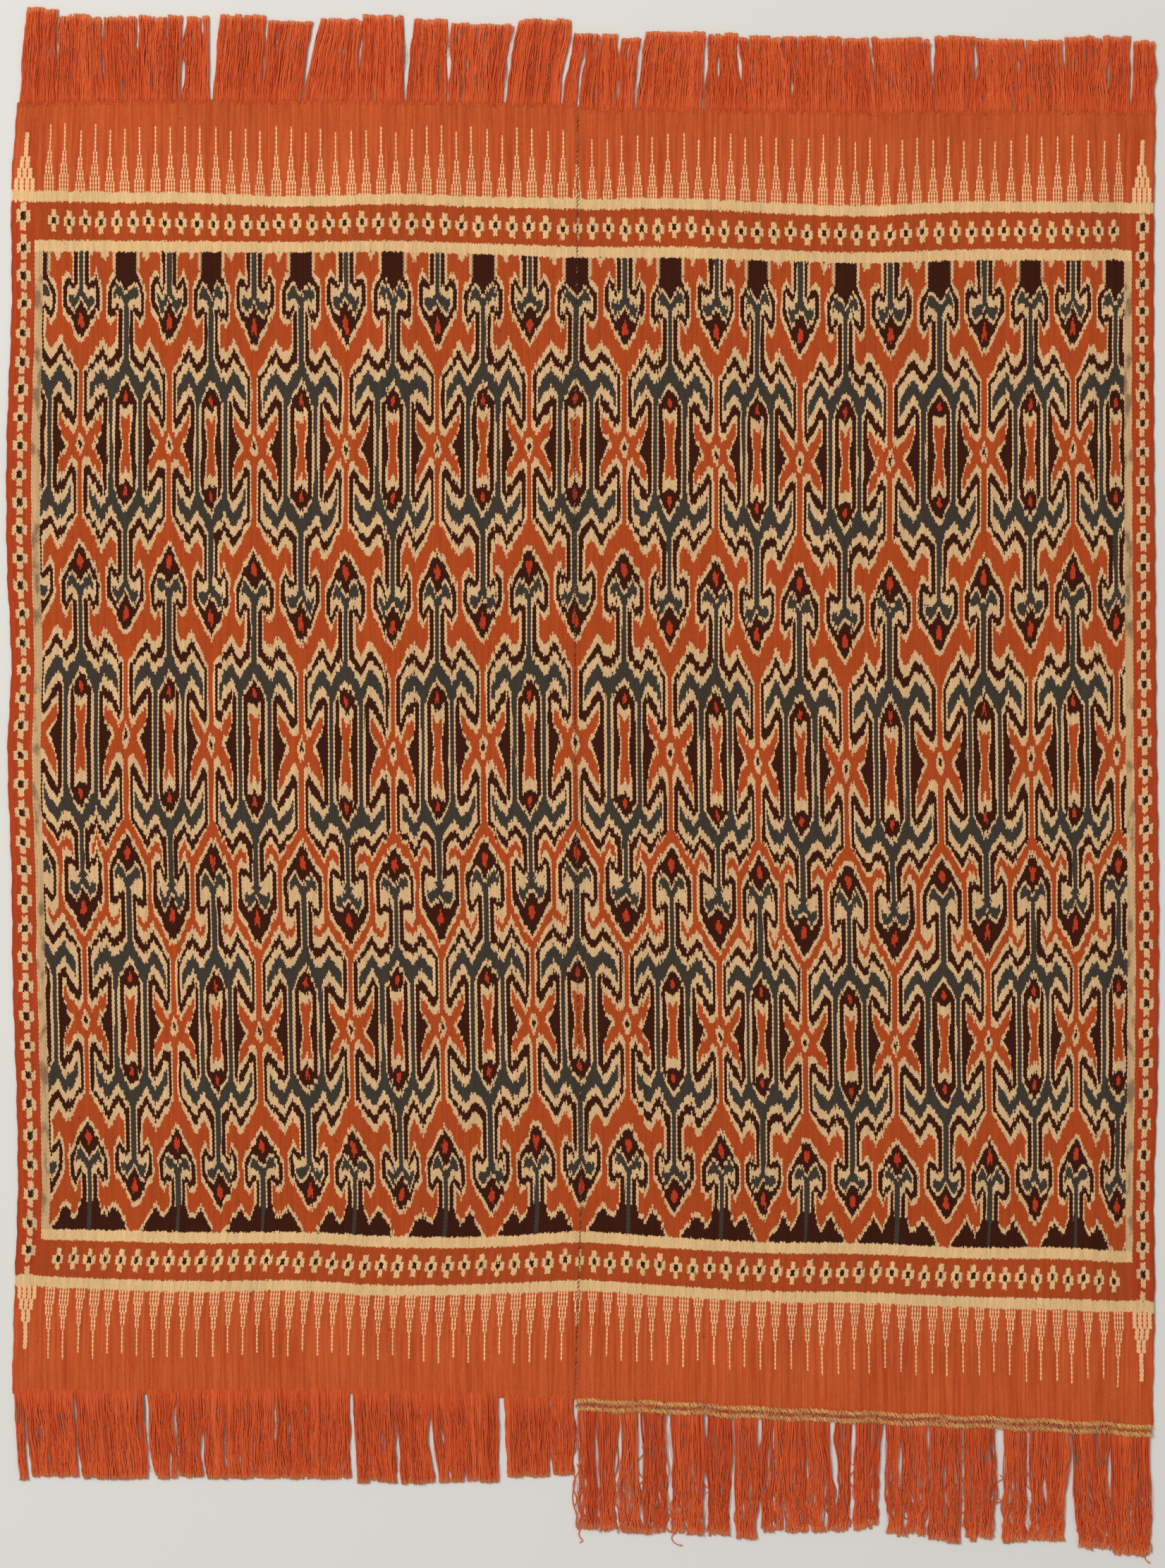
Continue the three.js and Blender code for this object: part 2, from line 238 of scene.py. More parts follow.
def cockle(x, y):
    """How far the cloth lifts off the floor, as in the CAD model, with a crease along each fold."""
    across = np.sin(x / COCKLE_SPAN_ACROSS * np.pi + np.sin(y / COCKLE_SPAN_ALONG))
    along = np.sin(y / COCKLE_SPAN_ALONG * np.pi + x / COCKLE_SPAN_ACROSS)
    crease = sum(np.exp(-(((x - fold) / FOLD_WIDTH) ** 2)) for fold in FOLDS)
    return COCKLE_HEIGHT * 0.25 * (2 + across + along) + FOLD_HEIGHT * crease


def new_piece(name, points, faces, material):
    """A mesh piece from points in millimetres."""
    mesh = bpy.data.meshes.new(name)
    mesh.from_pydata((np.asarray(points) * MM).tolist(), [], faces)
    mesh.materials.append(material)
    mesh.polygons.foreach_set("use_smooth", [True] * len(mesh.polygons))
    piece = bpy.data.objects.new(name, mesh)
    scene.collection.objects.link(piece)
    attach(piece, "root")
    return piece


def add_uv(mesh, name, values):
    """A UV map from one pair of values for each vertex."""
    corners = np.empty(len(mesh.loops), dtype=np.int32)
    mesh.loops.foreach_get("vertex_index", corners)
    layer = mesh.uv_layers.new(name=name)
    layer.data.foreach_set("uv", values[corners].astype(np.float32).ravel())


def add_value(mesh, name, values):
    attribute = mesh.attributes.new(name, "FLOAT", "POINT")
    attribute.data.foreach_set("value", np.asarray(values, dtype=np.float32).ravel())


# The mesh has close steps over the rounded rim and even ones inside. Stitches pucker the seam edge.
RIM = np.array([0, 0.35, 0.9, 1.8])
RIM_INSIDE = 4
STEPS_ACROSS = 84
STEPS_ALONG = 170
MIDDLE_HEIGHT = 0.7
LEAST_HEIGHT = 0.02
PUCKER_HEIGHT = 0.1
PUCKER_SPAN = 2.03
PUCKER_REACH = 5
SAG_FADE = 80


def steps_over(length, number):
    """Places of the mesh lines over a length, close together at both rims."""
    inner = np.linspace(RIM_INSIDE, length - RIM_INSIDE, number)
    return np.concatenate([RIM, inner, length - RIM[::-1]])


def weave_panel(name, material, stations, wefts, columns, edges, first_x, outer_on_left):
    """A closed thin sheet laid by its weft lines, with the maps that carry thread and pattern."""
    width = columns[-1]
    across = steps_over(width, STEPS_ACROSS)
    along = steps_over(PANEL_LENGTH, STEPS_ALONG)
    share = across / width
    ys_by_weft = smooth(stations, wefts.T, stations[0] + share * (stations[-1] - stations[0]))
    ys = smooth(WEFT_HEIGHTS, ys_by_weft.T, along)
    left = np.interp(ys, edge_ys, edge_lines[:, edges[0]] + (0 if outer_on_left else SEAM_GAP))
    right = np.interp(ys, edge_ys, edge_lines[:, edges[1]] - (SEAM_GAP if outer_on_left else 0))
    leaning = np.interp(ys, edge_ys, lean_lines[:, edges[0]])
    weight = np.ones(len(across)) if outer_on_left else np.sin(np.pi * share)
    xs = first_x + across + leaning * weight
    pull_left = left - first_x - leaning * weight[0]
    pull_right = right - first_x - width - leaning * weight[-1]
    xs = xs + pull_left * np.exp(-across / EDGE_PULL) + pull_right * np.exp(-(width - across) / EDGE_PULL)
    to_rim = np.minimum.outer(
        np.minimum(along, PANEL_LENGTH - along), np.minimum(across, width - across)
    )
    body = np.sqrt(1 - (1 - np.clip(0.12 + to_rim / RIM[-1], 0, 1)) ** 2)
    middle = cockle(xs, ys) + MIDDLE_HEIGHT
    from_seam = np.abs(across - (width if outer_on_left else 0))
    puckers = PUCKER_HEIGHT * np.sin(ys / PUCKER_SPAN) * np.exp(-from_seam / PUCKER_REACH)
    top = middle + CLOTH_THICKNESS / 2 * body + puckers
    under = np.maximum(middle - CLOTH_THICKNESS / 2 * body, LEAST_HEIGHT)
    rows, cols = xs.shape
    number = np.arange(rows * cols).reshape(rows, cols)
    quads = np.stack([number[:-1, :-1], number[:-1, 1:], number[1:, 1:], number[1:, :-1]], -1)
    faces = quads.reshape(-1, 4).tolist() + (quads + rows * cols)[..., ::-1].reshape(-1, 4).tolist()
    loop_top = np.concatenate([number[0], number[1:, -1], number[-1, -2::-1], number[-2:0:-1, 0]])
    loop_under = loop_top + rows * cols
    next_top = np.roll(loop_top, -1)
    next_under = np.roll(loop_under, -1)
    faces += np.stack([loop_top, loop_under, next_under, next_top], -1).tolist()
    points = np.concatenate([
        np.stack([xs, ys, top], -1).reshape(-1, 3),
        np.stack([xs, ys, under], -1).reshape(-1, 3),
    ])
    piece = new_piece(name, points, faces, material)
    from_outer = across if outer_on_left else width - across
    column_counts = np.interp(from_outer, columns, np.arange(len(columns)))
    beyond = from_outer < columns[0]
    column_counts[beyond] = (from_outer[beyond] - columns[0]) / COLUMN_PITCH
    above_first = np.clip((along - ROW_HEIGHTS[0]) / SAG_FADE, 0, 1)
    below_last = np.clip((ROW_HEIGHTS[-1] - along) / SAG_FADE, 0, 1)
    within = above_first * below_last
    row_counts = np.interp(along, ROW_HEIGHTS, ROW_COUNTS)[:, None]
    row_counts = row_counts - SAG / ROW_PITCH * within[:, None] * np.sin(np.pi * share)
    weave = np.stack(np.meshgrid(from_outer * MM, along * MM), -1).reshape(-1, 2)
    chart = np.stack([np.broadcast_to(column_counts, xs.shape), row_counts], -1).reshape(-1, 2)
    add_uv(piece.data, "weave", np.concatenate([weave, weave]))
    add_uv(piece.data, "chart", np.concatenate([chart, chart]))
    add_value(piece.data, "panel", np.full(len(points), 0 if outer_on_left else 1))
    return piece


class Finish:
    """The nodes of one material: each call adds a node and gives its result."""

    def __init__(self, material):
        self.tree = material.node_tree

    def node(self, kind, *values, **settings):
        made = self.tree.nodes.new("ShaderNode" + kind)
        for setting, value in settings.items():
            setattr(made, setting, value)
        for socket, value in zip(made.inputs, values):
            self.give(socket, value)
        return made

    def give(self, socket, value):
        if isinstance(value, bpy.types.NodeSocket):
            self.tree.links.new(value, socket)
        elif value is not None:
            socket.default_value = value

    def sum(self, operation, *values, clamp=False):
        return self.node("Math", *values, operation=operation, use_clamp=clamp).outputs[0]

    def blend(self, share, below, above, mode="MIX"):
        made = self.tree.nodes.new("ShaderNodeMix")
        made.data_type = "RGBA"
        made.blend_type = mode
        self.give(made.inputs[0], share)
        self.give(made.inputs[6], below)
        self.give(made.inputs[7], above)
        return made.outputs[2]

    def uv(self, name):
        place = self.node("UVMap", uv_map=name).outputs[0]
        parts = self.node("SeparateXYZ", place)
        return parts.outputs[0], parts.outputs[1]

    def value_of(self, name):
        return self.node("Attribute", attribute_name=name).outputs["Fac"]

    def chance(self, at):
        """A fixed random number from 0 to 1 for each whole number."""
        return self.node("TexWhiteNoise", None, at, noise_dimensions="1D").outputs[0]

    def cloudy(self, x, y, scale=1, detail=2):
        """Soft unevenness about 0, within 0.5 either way."""
        place = self.node("CombineXYZ", x, y).outputs[0]
        noise = self.node("TexNoise", place, None, scale, detail, noise_dimensions="2D")
        return self.sum("SUBTRACT", noise.outputs[0], 0.5)

    def scaled(self, value, by, plus=0.0, clamp=False):
        return self.sum("MULTIPLY_ADD", value, by, plus, clamp=clamp)

    def soft_step(self, value, width):
        """0 below 0 and 1 above it, over a soft edge."""
        return self.sum("MULTIPLY_ADD", value, 1 / width, 0.5, clamp=True)

    def curve(self, at, points, size_x, size_y):
        """A line drawn through points, read at a place from 0 to size_x."""
        made = self.tree.nodes.new("ShaderNodeFloatCurve")
        mapping = made.mapping
        mapping.clip_min_y = -1
        mapping.clip_max_y = 2
        line = mapping.curves[0]
        line.points[0].location = (points[0][0] / size_x, points[0][1] / size_y)
        line.points[1].location = (points[-1][0] / size_x, points[-1][1] / size_y)
        for x, y in points[1:-1]:
            line.points.new(x / size_x, y / size_y)
        for point in line.points:
            point.handle_type = "VECTOR"
        mapping.update()
        self.tree.links.new(self.scaled(at, 1 / size_x), made.inputs["Value"])
        return self.scaled(made.outputs[0], size_y)


# The pattern is drawn on squares of 0.62 mm: half a repeat is 66 squares across and 213
# down from the middle of a cross. Each shape has its dye, its start and its end down the warp.
# ON means that a shape runs on. OFF as its start and BEFORE as its end mean that it isn't there.
HALF_ACROSS = 66
HALF_DOWN = 213
ON = 240
OFF = 260
BEFORE = -20
UNDYED = (224, 184, 130)
WORN_UNDYED = (214, 175, 128)
DYES = {
    "brown": (56, 22, 9),
    "blue": (61, 54, 46),
    "orange": (173, 71, 29),
    "red": (186, 58, 30),
}
# How far each dye has crept along the thread, in squares
SPREAD = {"brown": 0.6, "blue": 0.5, "orange": 0.3, "red": 0.1}
# Shapes that hang from the cross and the rod
UPPER_SHAPES = [
    ("brown", [(21, -6), (39.2, -6)],
     [(21, 0), (24, 5), (27, 12), (29.5, 18), (31.5, 26), (33.3, 34), (33.7, 75), (36, 70),
      (39.2, 64)]),
    ("brown", [(5.5, 40), (8, 33), (10, 29.5), (12.5, 29), (15, 32.5), (20, 42), (25, 50),
               (30, 58), (33.5, 64)],
     [(5.5, 104), (9.8, 108), (10.1, 42.5), (15, 48), (20, 57), (25, 67), (30, 74), (31.5, 76),
      (33.5, 73)]),
    ("brown", [(9.8, 100), (12, 104), (15, 108.5), (20, 115.5), (25, 121), (31.5, 130),
               (36, 119.5), (40, 113), (44.5, 108.5), (48, 112), (52, 117), (56, 123),
               (60.6, 128)],
     [(9.8, 108), (12, 112), (16, 118), (20, 125), (25, 134), (31.5, 144), (36, 133.5), (40, 125.5),
      (44.5, 121), (48, 125.5), (51, 131), (54, 137), (55, 150), (55.3, 198), (60.6, 194)]),
    ("brown", [(50.3, -6), (60.3, -6)],
     [(50.3, 63), (53, 70), (56, 77), (56.3, 34), (57.5, 22), (59, 12), (60.3, 0)]),
    ("brown", [(56, 61), (59, 60), (62, 57), (64, 55), (66, 53)], [(56, 77), (60, 83), (63, 88), (66, 90)]),
    ("blue", [(12.3, 63), (13.5, 60), (15, 66), (20, 76), (25, 83), (31.5, 92), (36, 83.5), (40, 73.5),
              (41.4, 70), (41.7, -6), (47.2, -6), (47.5, 64), (50, 69.5), (55, 82), (60, 92), (64, 98.5),
              (66, 100.5)],
     [(12.3, 81), (15, 89), (20, 98), (25, 106), (31.5, 114), (36, 106), (40, 97.5), (44.3, 92.5), (48, 99),
      (52, 104), (56, 110.5), (60, 118), (62.4, 124.5), (62.8, ON), (66, ON)]),
    ("orange", [(0, 16), (2, 14), (4, 9), (6, 2), (6.5, -6), (15.5, -6), (17.5, 4), (21.5, 10), (25, 15),
                (28, 20), (30, 25), (31.5, 36)],
     [(0, 115), (3.1, 115), (3.4, 26), (5, 23), (8, 18.5), (10, 16), (12, 17), (15, 22), (20, 30), (25, 38),
      (29, 45), (31.5, 47)]),
    ("orange", [(58.6, 40), (59.5, 28), (60.5, 16), (61.8, 6), (62.3, -6), (66, -6)],
     [(58.6, 43), (61, 44), (63.5, 41), (66, 35)]),
    ("red", [(62.8, 69), (64, 65), (66, 63)], [(62.8, 72), (64.5, 76), (66, 78)]),
    ("brown", [(0, -6), (2.7, -6)], [(0, 6), (2.7, 2)]),
]
# The orange zigzag starts with the shapes above it and ends with those below
ZIGZAG_START = [
    (0, 60), (3.1, 60), (3.4, 108), (5, 110), (10, 119), (15, 129), (20, 137), (25, 147),
    (31.5, 158), (36, 150), (40, 143), (44, 138), (48, 143), (52.5, 153),
]
ZIGZAG_END = [
    (0, 144), (5, 149), (10, 158), (15, 168), (20, 178), (25, 186), (29, 195), (30.2, 204),
    (30.5, ON), (36, ON), (36.3, 186), (40, 179), (44, 170), (47, 175), (50, 182), (52.5, 188),
]
# The brown hook beside the blue stem
HOOK_START = [(38.3, 196), (42, 186), (45, 182), (48, 185), (52, 191), (55.5, 196)]
HOOK_END = [(38.3, ON), (43.8, ON), (44.1, 192), (50, 199), (55.5, 204)]
# The brown diamond under the zigzag
DIAMOND_START = [(0, 152), (5, 158), (10, 170), (15, 178), (20, 189), (24, 197), (27.8, 204)]
DIAMOND_END = [
    (0, 206), (3, 201), (6, 195), (10, 188), (13, 187), (16, 192), (20, 201), (22, 208),
    (22.3, ON), (27.8, ON),
]
LOWER_SHAPES = [
    ("blue", [(0, 212), (3, 208), (6, 202), (10, 195), (13, 194), (16, 199), (19, 207)],
     [(0, ON), (3, 224), (6, 217), (9, 213), (13, 212), (16, 214), (19, 219)]),
    ("red", [(0, 167), (3, 168), (4.6, 172)], [(0, 188), (3, 182), (4.6, 175)]),
]
# The foot of the blue stem, which meets the blue under the next shape
STEM_FOOT_START = [
    (46.7, 210), (49, 215), (51, 219), (56, 219), (58, 213), (60, 209), (62, 205), (63.3, 201),
]
STEM_FOOT_END = [(46.7, ON), (63.3, ON)]
# Below the last row the brown fills up between the feet of the shapes
FEET = [
    (0, 50), (3.1, 50), (3.4, 99), (5, 102), (10, 111), (15, 121), (20, 129), (25, 139),
    (31.5, 149), (36, 142), (40, 135), (44, 130), (48, 135), (52, 145), (53.2, 155), (66, 155),
]

# The borders, measured from the outer edge of the outer undyed band
OUTER_BAND = 9.3
CROSS_ROW_MIDDLE = 26.2
INNER_BAND_START = 42.2
FIELD_START = 51.8
END_HALF_SPAN = 483.85
SIDE_ORANGE = 19.5
SIDE_BAND_END = 27
SIDE_CROSS_MIDDLE = 10.5
SIDE_CROSS_PITCH = 25.4
CROSS_FIRST = 36.9
CROSS_PITCH = 14.8
SPIRE_FIRST = 45.2
SPIRES = 34
SPIRE_PITCH_LEFT = (LEFT_COLUMNS[-1] - SPIRE_FIRST) / SPIRES
SPIRE_PITCH_RIGHT = (RIGHT_COLUMNS[-1] - SPIRE_FIRST) / SPIRES
END_ORANGE = (193, 82, 40)
END_ORANGE_PALE = (206, 100, 50)
END_ORANGE_DEEP = (180, 70, 31)
SPIRE_UNDYED = (236, 184, 134)
CROSS_ORANGE = (170, 70, 29)
SIDE_RED_ORANGE = (172, 64, 28)
STAINED_UNDYED = (201, 163, 118)
GRIME = (104, 78, 56)

ikat_material, ikat_surface = new_material("ikat_cotton", END_ORANGE, 0.85)
dyed = Finish(ikat_material)
weave_across, weave_along = dyed.uv("weave")
chart_across, chart_down = dyed.uv("chart")
across = dyed.scaled(weave_across, 1 / MM)
along = dyed.scaled(weave_along, 1 / MM)
# Threads and beads are counted this far apart, so that no two draw the same chance
PANELS_APART = 917
BEADS_APART = 619
which = dyed.scaled(dyed.value_of("panel"), PANELS_APART)

waver = dyed.cloudy(dyed.scaled(across, 0.09), dyed.scaled(along, 0.02), detail=1)
count = dyed.sum("ADD", dyed.scaled(across, 1 / THREAD), dyed.scaled(waver, 0.9))

# The weave: each warp bulges over every other pick, and its neighbours bulge in between
BULGE = 0.2
picks = dyed.sum("MULTIPLY_ADD", waver, 1.5, dyed.scaled(along, np.pi / PICK))
wave = dyed.sum("COSINE", picks)
line = dyed.sum("ROUND", count)
line_side = dyed.scaled(dyed.sum("MODULO", line, 2), -2, 1)
line_edge = dyed.scaled(dyed.sum("MULTIPLY", wave, line_side), BULGE)
from_line = dyed.sum("SUBTRACT", dyed.sum("SUBTRACT", count, line), line_edge)
thread = dyed.sum("ADD", dyed.scaled(line, 1, -1), dyed.sum("GREATER_THAN", from_line, 0))
thread_side = dyed.scaled(dyed.sum("MODULO", thread, 2), 2, -1)
rise = dyed.scaled(dyed.sum("MULTIPLY", wave, thread_side), 0.5, 0.5)
flank = dyed.sum("MINIMUM", dyed.scaled(dyed.sum("ABSOLUTE", from_line), 3.2), 1)
round_top = dyed.sum("MULTIPLY", flank, dyed.scaled(flank, -1, 2))
relief = dyed.sum("MULTIPLY", round_top, dyed.scaled(rise, 0.6, 0.4))

# How far each thread has slipped along the warp since it was dyed, alone, in pairs and in bunches
SLIP_ALONE = 18
SLIP_FINE = 3.4
SLIP_PAIR = 1.8
SLIP_BUNCH = 5
SLIP_WIDE = 6
own = dyed.sum("ADD", thread, which)
thread_chance = dyed.chance(own)
pair_chance = dyed.chance(dyed.sum("FLOOR", dyed.scaled(own, 0.5, 5000)))
slip_fine = dyed.cloudy(dyed.scaled(own, 5.17, 0.4), dyed.scaled(along, 0.03), detail=1)
slip_bunch = dyed.cloudy(dyed.scaled(own, 0.21), dyed.scaled(along, 0.02), detail=1)
slip_wide = dyed.cloudy(dyed.scaled(own, 0.04), dyed.scaled(along, 0.008), detail=1)
centred = dyed.scaled(thread_chance, 1, -0.5)
stray = dyed.sum("MULTIPLY", centred, dyed.sum("MULTIPLY_ADD", centred, centred, 0.07))
slip = dyed.sum("MULTIPLY_ADD", stray, SLIP_ALONE, dyed.scaled(slip_fine, SLIP_FINE))
slip = dyed.sum("ADD", slip, dyed.scaled(pair_chance, SLIP_PAIR, -SLIP_PAIR / 2))
slip = dyed.sum("MULTIPLY_ADD", slip_bunch, SLIP_BUNCH, slip)
slip = dyed.sum("MULTIPLY_ADD", slip_wide, SLIP_WIDE, slip)
end_slip = dyed.sum("MULTIPLY_ADD", slip_fine, 3, dyed.scaled(thread_chance, 1.2, -0.6))

# The field
down = dyed.sum("MULTIPLY_ADD", slip, 1 / ROW_PITCH, chart_down)
row = dyed.sum("FLOOR", down)
row_down = dyed.scaled(dyed.sum("SUBTRACT", down, row), 2 * HALF_DOWN)
down_square = dyed.sum("PINGPONG", row_down, HALF_DOWN)
lower = dyed.sum("GREATER_THAN", row_down, HALF_DOWN)
to_middle = dyed.sum("SUBTRACT", dyed.scaled(thread, 1, 0.5), count)
thread_middle = dyed.scaled(to_middle, THREAD / COLUMN_PITCH)
column = dyed.sum("ADD", dyed.sum("ADD", chart_across, thread_middle), row)
upper_across = dyed.scaled(dyed.sum("PINGPONG", column, 1), HALF_ACROSS)
turn = dyed.scaled(upper_across, -2, HALF_ACROSS)
across_square = dyed.sum("MULTIPLY_ADD", lower, turn, upper_across)
SOFT_EDGE = 1.6


def drawn(points, outside):
    """A shape's line with what lies before its first point and after its last one."""
    line = list(points)
    if line[0][0] > 0:
        line = [(0, outside), (line[0][0] - 0.2, outside)] + line
    if line[-1][0] < HALF_ACROSS:
        line = line + [(line[-1][0] + 0.2, outside), (HALF_ACROSS, outside)]
    return line


def put(dye, start, start_down, end, end_down, ground):
    """One shape of the chart, dyed over the ground."""
    first = dyed.curve(across_square, drawn(start, OFF), HALF_ACROSS, ON)
    last = dyed.curve(across_square, drawn(end, BEFORE), HALF_ACROSS, ON)
    room = dyed.sum(
        "MINIMUM", dyed.sum("SUBTRACT", start_down, first), dyed.sum("SUBTRACT", last, end_down)
    )
    shape = dyed.soft_step(dyed.scaled(room, 1, SPREAD[dye]), SOFT_EDGE)
    return dyed.blend(shape, ground, tone_of(*DYES[dye]))


def between(first, last):
    """1 for the half rows from one count to another."""
    return dyed.sum("MULTIPLY", dyed.sum("GREATER_THAN", down, first), dyed.sum("LESS_THAN", down, last))


# Below the middle row of crosses the upper shapes were tied a little longer
STRETCH = 18
STRETCH_START = 70
STRETCH_END = 25
ZIGZAG_SHARE = 0.7
stretched = between(2, 2.5)
from_cross = dyed.scaled(down_square, 1 / STRETCH_START, clamp=True)
to_turn = dyed.scaled(down_square, -1 / STRETCH_END, HALF_DOWN / STRETCH_END, clamp=True)
stretch = dyed.sum("MULTIPLY", dyed.sum("MULTIPLY", from_cross, to_turn), dyed.scaled(stretched, STRETCH))
pulled_square = dyed.sum("SUBTRACT", down_square, stretch)

field = tone_of(*WORN_UNDYED)
for dye, start, end in UPPER_SHAPES:
    field = put(dye, start, pulled_square, end, pulled_square, field)
zigzag_square = dyed.sum("MULTIPLY_ADD", stretch, -ZIGZAG_SHARE, down_square)
# The zigzag is broad below the first row of crosses, and narrow above the last one
SOONER = {(1, 1.5): 2, (2, 2.5): 6, (2.5, 3): 21}
sooner = 0
for rows, squares in SOONER.items():
    sooner = dyed.sum("MULTIPLY_ADD", between(*rows), squares, sooner)
sooner_square = dyed.sum("ADD", sooner, down_square)
half_sooner_square = dyed.sum("MULTIPLY_ADD", sooner, 0.5, down_square)
field = put("orange", ZIGZAG_START, zigzag_square, ZIGZAG_END, sooner_square, field)
field = put("brown", HOOK_START, half_sooner_square, HOOK_END, half_sooner_square, field)
field = put("brown", DIAMOND_START, sooner_square, DIAMOND_END, half_sooner_square, field)
for dye, start, end in LOWER_SHAPES:
    field = put(dye, start, half_sooner_square, end, half_sooner_square, field)
field = put("blue", STEM_FOOT_START, down_square, STEM_FOOT_END, down_square, field)
# Above the first row of crosses only brown crowns show, each in an undyed line: half width, foot
CROWNS = [(20, 172, WORN_UNDYED), (16, 189, DYES["brown"])]
top_row = dyed.sum("LESS_THAN", down, 0.5)
for half_width, foot, tone in CROWNS:
    from_side = dyed.scaled(across_square, -1, half_width)
    crown_edge = dyed.sum("MINIMUM", from_side, dyed.scaled(down_square, -1, foot))
    crown = dyed.sum("MULTIPLY", dyed.soft_step(crown_edge, SOFT_EDGE), top_row)
    field = dyed.blend(crown, field, tone_of(*tone))
FEET_START = 3.5
STEM_EDGE = 63.2
feet = dyed.sum("SUBTRACT", dyed.curve(across_square, FEET, HALF_ACROSS, ON), down_square)
feet = dyed.soft_step(feet, SOFT_EDGE)
feet = dyed.sum("MULTIPLY", feet, dyed.sum("GREATER_THAN", down, FEET_START))
field = dyed.blend(feet, field, tone_of(*DYES["brown"]))
stem = dyed.sum("MULTIPLY", feet, dyed.sum("GREATER_THAN", across_square, STEM_EDGE))
field = dyed.blend(stem, field, tone_of(*DYES["blue"]))

# The borders: side bands with a column of crosses, then the end bands and their spires
inward = dyed.scaled(thread, THREAD, THREAD / 2)
from_middle = dyed.sum("ABSOLUTE", dyed.scaled(along, 1, -PANEL_MIDDLE))
level_outward = dyed.scaled(from_middle, 1, -END_HALF_SPAN)
outward = dyed.sum("ADD", level_outward, end_slip)


def end_tone(fine, broad):
    """The plain ends: orange that varies from thread to thread and in broad soft streaks."""
    varied = dyed.blend(dyed.scaled(broad, 2.4, 0.5), tone_of(*END_ORANGE_DEEP), tone_of(*END_ORANGE))
    return dyed.blend(dyed.scaled(fine, 1.8, 0.25), varied, tone_of(*END_ORANGE_PALE))


broad_streaks = dyed.cloudy(dyed.scaled(count, 0.11), dyed.scaled(along, 0.006), detail=2)
fine_streaks = dyed.cloudy(dyed.scaled(count, 0.5), dyed.scaled(along, 0.016), detail=2)
end_orange = end_tone(fine_streaks, broad_streaks)


# Half the width and height of a small cross's bar, its post and its dark middle
CROSS_BAR = (5.6, 4.1)
CROSS_POST = (2.3, 10.4)
CROSS_DARK = (1.9, 3.1)
CROSS_EDGE = 0.4
SIDE_CROSS_SIZE = 1.08
ROW_CROSS_SIZE = 0.93


def cross_share(dx, dy, size):
    """A small cross, and its dark middle."""
    aside = dyed.sum("ABSOLUTE", dx)
    updown = dyed.sum("ABSOLUTE", dy)

    def inside(half_width, half_height):
        from_side = dyed.scaled(aside, -1, half_width * size)
        return dyed.sum("MINIMUM", from_side, dyed.scaled(updown, -1, half_height * size))

    whole = dyed.sum("MAXIMUM", inside(*CROSS_BAR), inside(*CROSS_POST))
    return dyed.soft_step(whole, CROSS_EDGE), dyed.soft_step(inside(*CROSS_DARK), CROSS_EDGE)


side_down = dyed.scaled(dyed.sum("ADD", along, dyed.scaled(slip_fine, 5)), 1 / SIDE_CROSS_PITCH, 0.7)
side_down = dyed.sum("MULTIPLY_ADD", dyed.cloudy(0, dyed.scaled(along, 0.03)), 0.25, side_down)
side_dy = dyed.scaled(dyed.sum("SUBTRACT", dyed.sum("FRACT", side_down), 0.5), SIDE_CROSS_PITCH)
side_dx = dyed.scaled(inward, 1, -SIDE_CROSS_MIDDLE)
side_whole, side_dark = cross_share(side_dx, side_dy, SIDE_CROSS_SIZE)
side = dyed.blend(side_whole, tone_of(*SIDE_RED_ORANGE), tone_of(*WORN_UNDYED))
side = dyed.blend(side_dark, side, tone_of(*DYES["brown"]))

# The crosses of the end rows stand closer together near the outer selvedge
CROWDING = 0.9
CROWDING_SPAN = 150
CROSS_START = 1.4
CROSS_UNEVEN = 2.4
from_first = dyed.scaled(inward, 1, -CROSS_FIRST)
crowding = dyed.sum("EXPONENT", dyed.scaled(from_first, -1 / CROWDING_SPAN))
cross_count = dyed.scaled(from_first, 1 / CROSS_PITCH, CROSS_START)
cross_count = dyed.sum("MULTIPLY_ADD", crowding, -CROWDING, cross_count)
cross_number = dyed.sum("ADD", dyed.sum("FLOOR", cross_count), which)
cross_dx = dyed.scaled(dyed.sum("SUBTRACT", dyed.sum("FRACT", cross_count), 0.5), CROSS_PITCH)
cross_chance = dyed.chance(dyed.scaled(cross_number, 1, 300))
cross_shift = dyed.scaled(cross_chance, CROSS_UNEVEN, -CROSS_UNEVEN / 2)
cross_dy = dyed.sum("ADD", dyed.scaled(outward, 1, CROSS_ROW_MIDDLE), cross_shift)
cross_whole, cross_dark = cross_share(cross_dx, cross_dy, ROW_CROSS_SIZE)
has_cross = dyed.sum("GREATER_THAN", cross_count, 0)
cross_whole = dyed.sum("MULTIPLY", cross_whole, has_cross)
cross_dark = dyed.sum("MULTIPLY", cross_dark, has_cross)
cross_row = dyed.blend(cross_whole, tone_of(*CROSS_ORANGE), tone_of(*UNDYED))
cross_row = dyed.blend(cross_dark, cross_row, tone_of(*DYES["brown"]))


# How far up three threads of a spire end, one after another, and where the last thread ends
SPIRE_STEPS = (11.2, 21, 32.5)
SPIRE_HEIGHT = 57
SPIRE_UNEVEN = 8


